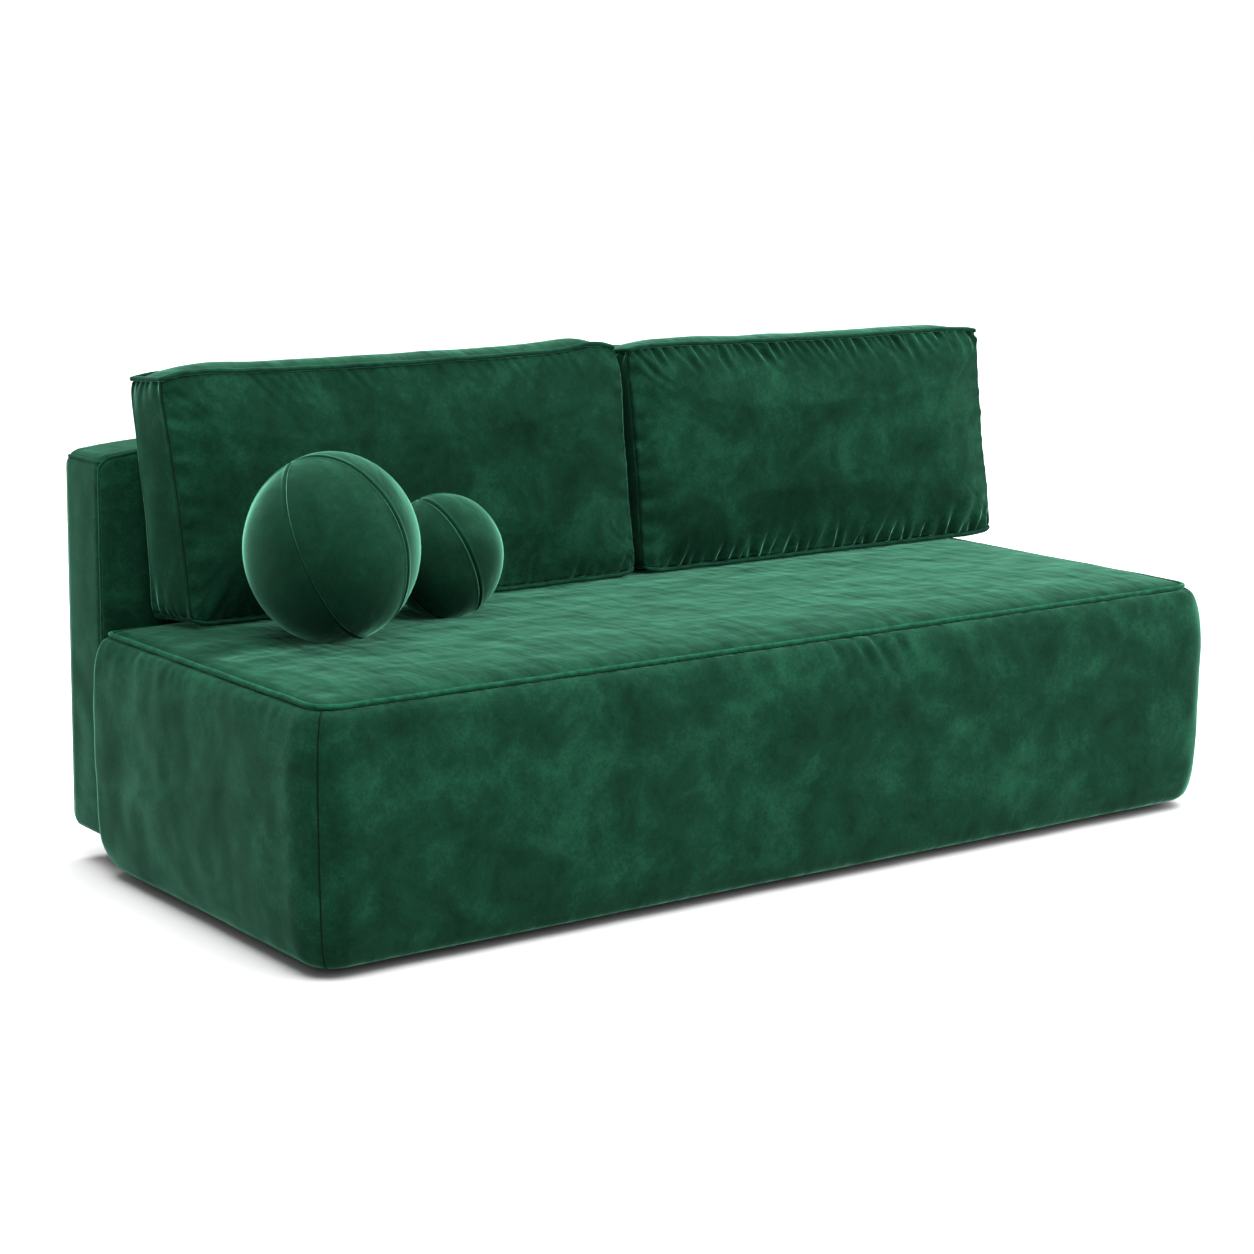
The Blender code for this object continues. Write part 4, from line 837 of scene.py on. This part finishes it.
def cushion_shape(width, dome):
    """Front panel, border rings and rear panel of an upright cushion about its middle."""
    u = spaced(width, CLOTH_STEP) * 2 - 1
    v = spaced(CUSHION_HEIGHT, CLOTH_STEP) * 2 - 1
    t = spaced(CUSHION_EDGE, CLOTH_STEP)
    across, up = np.meshgrid(u, v, indexing="ij")
    corner = CUSHION_CORNER * (across * up) ** np.where(up < 0, CUSHION_FOOT_TIGHT, CUSHION_TOP_TIGHT)
    x = across * (width / 2 - CUSHION_DRAW_IN * (1 - up**2) - corner)
    z = up * (CUSHION_HEIGHT / 2 - CUSHION_DRAW_IN * (1 - across**2) * (1 + up) / 2 - corner)
    swell = (1 - np.abs(across) ** CUSHION_FLAT_ACROSS) * (1 - np.abs(up) ** CUSHION_FLAT_UP)
    swell = swell**CUSHION_ROUNDNESS
    front = np.stack([x, -CUSHION_EDGE / 2 - CUSHION_CROWN * swell, z], axis=2)
    rear = np.stack([x, np.full_like(x, CUSHION_EDGE / 2), z], axis=2)
    loop = border_loop(len(u) - 1, len(v) - 1)
    rim = np.array([(x[i, j], z[i, j]) for i, j in loop])
    side = np.array([{0: -1, len(u) - 1: 1}.get(i, 0) for i, j in loop])
    end = np.array([{0: -1, len(v) - 1: 1}.get(j, 0) for i, j in loop])
    loop_u = np.array([u[i] for i, j in loop])
    loop_v = np.array([v[j] for i, j in loop])
    rings = []
    for share in t[1:-1]:
        belly = 4 * share * (1 - share)
        ring_x = rim[:, 0] + side * CUSHION_SIDE_SWELL * (1 - loop_v**CUSHION_SIDE_FLAT) * belly
        swell = np.where(end > 0, dome, -CUSHION_FOOT_SWELL) * np.abs(end)
        ring_z = rim[:, 1] + swell * (1 - loop_u**CUSHION_FLAT_ACROSS) * belly
        ring_y = np.full(len(loop), CUSHION_EDGE * (share - 0.5))
        rings.append(np.stack([ring_x, ring_y, ring_z], 1))
    return u, v, t, front, rings, rear


def sag(points, side, width):
    """The uneven stuffing seen in each cushion: it slouches sideways and has its own top line."""
    u = np.clip(2 * points[:, 0] / width, -1, 1)
    high = np.clip(points[:, 2] / CUSHION_HEIGHT + 0.5, 0, 1)
    front = np.clip(0.5 - points[:, 1] / CUSHION_EDGE, 0, 1)
    moved = points.copy()
    moved[:, 0] += np.interp(u, (-1, 1), CUSHION_SLOUCH[side]) * (1 - high)
    moved[:, 0] -= np.interp(u, (-1, 1), CUSHION_TOP_LEFT[side]) * high * u**CUSHION_END_FADE
    if side == "left":
        right, left = np.clip(u, 0, 1) ** CUSHION_END_FADE, np.clip(-u, 0, 1) ** CUSHION_END_FADE
        moved[:, 0] -= CUSHION_TOP_IN * high**CUSHION_CORNER_FADE * right
        moved[:, 0] += CUSHION_HEEL_IN * front * (1 - high) * left
        lift = sum(rise * bell((u - at) / wide) for rise, at, wide in LEFT_TOP_RISES)
    else:
        lift = -RIGHT_TOP_DROP * (1 + u) / 2
    drop = CUSHION_FOOT_DROP * front * (1 - high) ** CUSHION_FOOT_FADE
    moved[:, 2] += lift * high**CUSHION_TOP_FADE - drop
    return moved


def make_cushion(side, seed, dome, puckers, seat, velvet, welt_velvet, seam_shade):
    """A box cushion: panels sewn with plain upright seams, and welts round its top and its underside."""
    name = f"{side}_cushion_cover"
    low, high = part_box(f"{side}_back_cushion")
    width = high.x - low.x - 2 * CUSHION_SIDE_SWELL
    u, v, t, front, rings, rear = cushion_shape(width, dome)
    points, faces, strips = boxed(front, rings, rear)
    piece = make_piece(name, points, faces, velvet)
    across, up = len(u) - 1, len(v) - 1
    corners = [0, across, across + up, 2 * across + up]
    seams = list(strips[0]) + list(strips[-1])
    for strip in strips[1:-1]:
        seams += [strip[k] for k in corners]
    lean = np.array(Matrix.Rotation(-CUSHION_LEAN, 3, "X"))
    upright = points @ lean.T
    place = np.array([(low.x + high.x) / 2, high.y - upright[:, 1].max(), low.z - upright[:, 2].min()])
    stuff(piece, seams, CUSHION_PRESSURE, CUSHION_STUFFING)

    points, normals = get_points(piece), read_rows(piece.data.vertex_normals, "vector")
    seam_points, seam_normals = points.copy(), normals.copy()
    draw = random.Random(seed)
    dip = np.zeros(len(points))
    size = (across + 1) * (up + 1)
    run = (np.repeat(u, up + 1) + 1) / 2 * width
    rise = (np.tile(v, across + 1) + 1) / 2 * CUSHION_HEIGHT
    top, foot, sides = puckers
    front_dip = gathered(gathers(draw, width, *TOP_FOLDS, top, TOP_SLANT), run, CUSHION_HEIGHT - rise)
    front_dip += gathered(gathers(draw, width, *FOOT_FOLDS, foot, FOOT_SLANT), run, rise)
    front_dip += gathered(gathers(draw, CUSHION_HEIGHT, *LEFT_FOLDS, sides, 0.0), rise, run)
    front_dip += gathered(gathers(draw, CUSHION_HEIGHT, *RIGHT_FOLDS, sides, 0.0), rise, width - run)
    edge = np.minimum(np.minimum(run, width - run), np.minimum(rise, CUSHION_HEIGHT - rise))
    dip[:size] = front_dip + seam_groove(edge)
    dip[-size:] = front_dip * CUSHION_REAR_FOLDS + seam_groove(edge)
    for begin, heights in ((corners[1], rise[:up]), (corners[3], rise[up:0:-1])):
        folds_top = gathers(draw, CUSHION_EDGE, *END_TOP_FOLDS)
        folds_low = gathers(draw, CUSHION_EDGE, *END_FOOT_FOLDS)
        for strip, part in zip(strips[1:-1], t[1:-1]):
            index = np.array(strip[begin : begin + up])
            where = np.full(up, part * CUSHION_EDGE)
            dip[index] = gathered(folds_top, where, CUSHION_HEIGHT - heights)
            dip[index] += gathered(folds_low, where, heights)
    half_loop = [width / 2 * (1 - np.abs(u[:-1])), CUSHION_HEIGHT / 2 * (1 - np.abs(v[:-1]))]
    ends = np.concatenate(half_loop + half_loop)
    for strip, part in zip(strips[1:-1], t[1:-1]):
        away = np.minimum(ends, CUSHION_EDGE * min(part, 1 - part))
        dip[np.array(strip)] += seam_groove(away)
    dip += rumple(points, *CUSHION_SWELL, seed)
    points = points - normals * dip[:, None]

    def finish(shape):
        """Sags, leans and places the cover, and flattens it where it meets the seat and the slab."""
        shape = sag(shape, side, width) @ lean.T + place
        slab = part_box("back_front_pad")
        floor = seat.height(shape[:, 0], shape[:, 1]) + REST
        shape[:, 2] = np.maximum(shape[:, 2], floor)
        above = np.maximum(shape[:, 2] - slab[1].z - SLAB_WELT, 0.0)
        shape[:, 1] = np.minimum(shape[:, 1], np.minimum(slab[0].y - LIFT + above, high.y))
        return shape

    set_points(piece, finish(points))
    smooth_mesh(piece)
    proud = finish(seam_points + seam_normals * CUSHION_WELT_PROUD)
    welts = []
    for label, start, stop in (("top", corners[2], corners[3]), ("lower", corners[0], corners[1])):
        line = [strips[0][k] for k in range(start, stop + 1)]
        line += [strip[stop] for strip in strips[1:-1]]
        line += [strips[-1][k] for k in range(stop, start - 1, -1)]
        line += [strip[start] for strip in strips[-2:0:-1]]
        path = proud[np.array(line)]
        for _ in range(CUSHION_WELT_SMOOTHING):
            path = (np.roll(path, 1, axis=0) + path + np.roll(path, -1, axis=0)) / 3
        if label == "top":
            middle = path.mean(axis=0)
            for corner in proud[[strips[0][start], strips[0][stop], strips[-1][start], strips[-1][stop]]]:
                near = bell(np.linalg.norm(path - corner, axis=1) / CUSHION_EAR_WIDTH)
                outward = np.sign(corner - middle) * (1, 1, 0)
                path += CUSHION_EAR * near[:, None] * outward
        path[:, 2] += rumple(path, *CUSHION_WELT_SWELL, seed)
        if label == "lower":
            path[:, 2] = np.maximum(path[:, 2], seat.height(path[:, 0], path[:, 1]) + CUSHION_WELT + REST)
        welts.append(sweep(f"{name}_{label}_welt", path, CUSHION_WELT, welt_velvet))
    # Nearly black cords laid in the upright seams: painted shade of the seam grooves.
    sewn = get_surface(piece)
    for depth, strip in (("front", strips[0]), ("rear", strips[-1])):
        ends = {"left": strip[corners[3] :] + strip[:1], "right": strip[corners[1] : corners[2] + 1]}
        for end, line in ends.items():
            path = sewn[np.array(line)]
            welts.append(sweep(f"{name}_{depth}_{end}_seam", path, SEAM_SHADE_CORD, seam_shade, (0.0, 1.0, 0.0), False))
    return [piece] + welts


def make_ball(name, spin, seat, velvet):
    """A ball cushion sewn from five gores about a leaning axis, with sunk seams."""
    low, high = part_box(f"{name}_cushion")
    radius = (high.x - low.x) / 2
    half_height = (high.z - low.z + BALL_FOOT) / 2
    centre = np.array([(low.x + high.x) / 2, (low.y + high.y) / 2, high.z - half_height])
    share = np.linspace(0, 1, GORE_COLUMNS + 1)[:-1]
    share = share - GORE_CROWDING * np.sin(2 * math.pi * share) / (2 * math.pi)
    turns = np.concatenate([(gore + share) * 2 * math.pi / GORES for gore in range(GORES)])
    rises = np.linspace(-math.pi / 2, math.pi / 2, BALL_ROWS + 1)[1:-1]
    turn, rise = np.meshgrid(turns, rises)
    snug = radius - BALL_SLACK
    globe = np.stack([np.cos(rise) * np.cos(turn), np.cos(rise) * np.sin(turn), np.sin(rise)], axis=2)
    points = np.concatenate([globe.reshape(-1, 3), [(0, 0, -1), (0, 0, 1)]]) * snug
    count = len(turns)
    faces = tube_faces(len(rises), count, capped=False)
    last = (len(rises) - 1) * count
    for k in range(count):
        n = (k + 1) % count
        faces.append((len(points) - 2, n, k))
        faces.append((len(points) - 1, last + k, last + n))
    piece = make_piece(name, points, faces, velvet)
    seams = [r * count + g * GORE_COLUMNS for r in range(len(rises)) for g in range(GORES)]
    stuff(piece, seams + [len(points) - 2, len(points) - 1], BALL_PRESSURE, BALL_STUFFING)

    points = get_points(piece)
    off = np.abs(np.sin(turn * GORES / 2)) * radius * np.cos(rise) / (GORES / 2)
    groove = seam_groove(off, BALL_SEAM_SINK, BALL_SEAM_WIDTH, BALL_SEAM_LIP)
    points[: len(points) - 2] *= (1 - groove.reshape(-1) / radius)[:, None]
    way = Matrix.Rotation(BALL_LEAN_WAY, 3, "Z")
    tilt = way @ Matrix.Rotation(BALL_LEAN, 3, "Y") @ way.inverted()
    points = points @ np.array(tilt @ Matrix.Rotation(spin, 3, "Z")).T
    points[:, 2] *= half_height / radius
    points += rumple(points + centre, *BALL_SWELL)[:, None] * points / radius
    points += centre
    points[:, 2] = np.maximum(points[:, 2], seat.height(points[:, 0], points[:, 1]) + REST)
    set_points(piece, points)
    smooth_mesh(piece)
    return piece


def add_light(name, kind, power, way, **settings):
    """Adds a light that shines this way."""
    light = bpy.data.lights.new(name, kind)
    light.energy = power
    for setting, value in settings.items():
        setattr(light, setting, value)
    lamp = bpy.data.objects.new(name, light)
    lamp.rotation_euler = way.to_track_quat("-Z", "Y").to_euler()
    bpy.context.scene.collection.objects.link(lamp)
    return lamp


def light_the_studio():
    """A white room: a wide soft light from above, a little in front and to the right, and a weak fill."""
    scene = bpy.context.scene
    scene.view_settings.view_transform = "Standard"
    world = bpy.data.worlds.new("white studio")
    world.use_nodes = True
    scene.world = world
    tree = world.node_tree
    seen = add(tree, "ShaderNodeLightPath").outputs["Is Camera Ray"]
    way = add(tree, "ShaderNodeTexCoord").outputs["Generated"]
    rise = add(tree, "ShaderNodeSeparateXYZ", {"Vector": way}).outputs["Z"]
    glow = remap(tree, rise, HORIZON_GLOW, OVERHEAD_GLOW, stop=GLOW_RISE)
    strength = mix(tree, seen, glow, 1.0)
    plug(tree, tree.nodes["Background"], {"Color": linear("FFFFFF"), "Strength": strength})
    add_light("overhead softbox", "SUN", SUN_POWER, Vector(SUN_WAY), angle=SUN_SPREAD)
    way = Vector(FILL_AIM) - Vector(FILL_PLACE)
    add_light("right softbox", "AREA", FILL_POWER, way, size=FILL_SIZE).location = FILL_PLACE
    reach = FLOOR_REACH
    corners = [(-reach, -reach, 0), (reach, -reach, 0), (reach, reach, 0), (-reach, reach, 0)]
    floor_paint, tree, shader, where = start_material("matt_floor_paint")
    paint(tree, shader, marks(tree, where, 900), (0.3, "BCBCBC"), (0.7, "BFBFBF"))
    plug(tree, shader, {"Roughness": 0.9, "Specular IOR Level": 0.0})
    make_piece("floor", corners, [(0, 1, 2, 3)], floor_paint)


def set_camera():
    """Stands the camera where the photograph was taken from."""
    lens = bpy.data.cameras.new("photograph")
    lens.sensor_width = SENSOR_MM
    lens.lens = FOCAL_PIXELS * SENSOR_MM / PHOTO_PIXELS
    camera = bpy.data.objects.new("photograph", lens)
    camera.location = CAMERA_PLACE
    camera.rotation_euler = (math.pi / 2 - CAMERA_PITCH, 0.0, -CAMERA_YAW)
    bpy.context.scene.collection.objects.link(camera)
    bpy.context.scene.camera = camera


def dress():
    """Gives every board and fitting its finish, and covers the foam."""
    velvet = make_velvet("short_pile_velvet", "041D12", "082B1D", "123F2C", BLOOM_SPREAD)
    ball_velvet = make_velvet("close_pile_velvet", "051F14", "082A1C", "0F3828", BALL_BLOOM_SPREAD)
    # The lighter copy for the seat's piping: its paler base colour is painted highlight along the cord.
    piping = make_piping_velvet("tight_velvet_painted_highlight", "08311F", "104632", 1.0)
    # The darker copy for the slab and cushion welts, with less sheen: painted shade along them.
    welt_velvet = make_piping_velvet("tight_shaded_velvet", "05251A", "0A3424", 0.8)
    seam_shade = make_seam_shade_cord()
    finishes = {"velvet": velvet, "foam": velvet, "steel": make_steel(), "plastic": make_plastic()}
    woods = {}
    for run, way in enumerate(("across", "deep", "upright")):
        woods["pine", run] = make_wood(f"planed_pine_{way}", "B98A55", "D9B27C", 9, run, roughness=0.55)
        woods["plywood", run] = make_wood(f"birch_plywood_{way}", "C2A277", "DCC49C", 14, run, roughness=0.5)
    slots = {part["node"]: part["material_slot"] for part in frame["record"]["subparts"]}
    for name, item in frame["nodes"].items():
        low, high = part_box(name)
        longest = max(range(3), key=lambda axis: high[axis] - low[axis])
        for holder in item.material_slots:
            holder.material = finishes.get(slots[name]) or woods[slots[name], longest]

    seat = Seat()
    slab = make_slab(velvet, welt_velvet)
    skirt = make_seat_skirt(seat, velvet, seam_shade)
    for piece, body in [(piece, "back") for piece in slab[1:]] + [(piece, "seat") for piece in skirt[1:]]:
        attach(piece, body)
    covers = (
        (make_seat_top(seat, velvet), "seat", ("seat_top_pad", "seat_foam")),
        (skirt[0], "seat", ("front_skirt", "left_skirt", "right_skirt")),
        (make_seat_welt(seat, piping), "seat", ("seat_piping",)),
        (slab[0], "back", ("back_front_pad", "back_rear_pad", "back_border")),
        (make_ball("large_ball", LARGE_BALL_TURN, seat, ball_velvet), "large_ball", ("large_ball_cushion",)),
        (make_ball("small_ball", SMALL_BALL_TURN, seat, ball_velvet), "small_ball", ("small_ball_cushion",)),
    )
    for piece, body, nodes in covers:
        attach(piece, body)
        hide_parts(*nodes)
    for side, seed, dome, puckers in CUSHION_FORMS:
        pieces = make_cushion(side, seed, dome, puckers, seat, velvet, welt_velvet, seam_shade)
        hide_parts(f"{side}_back_cushion")
        for piece in pieces:
            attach(piece, f"{side}_cushion")


set_camera()
light_the_studio()
dress()
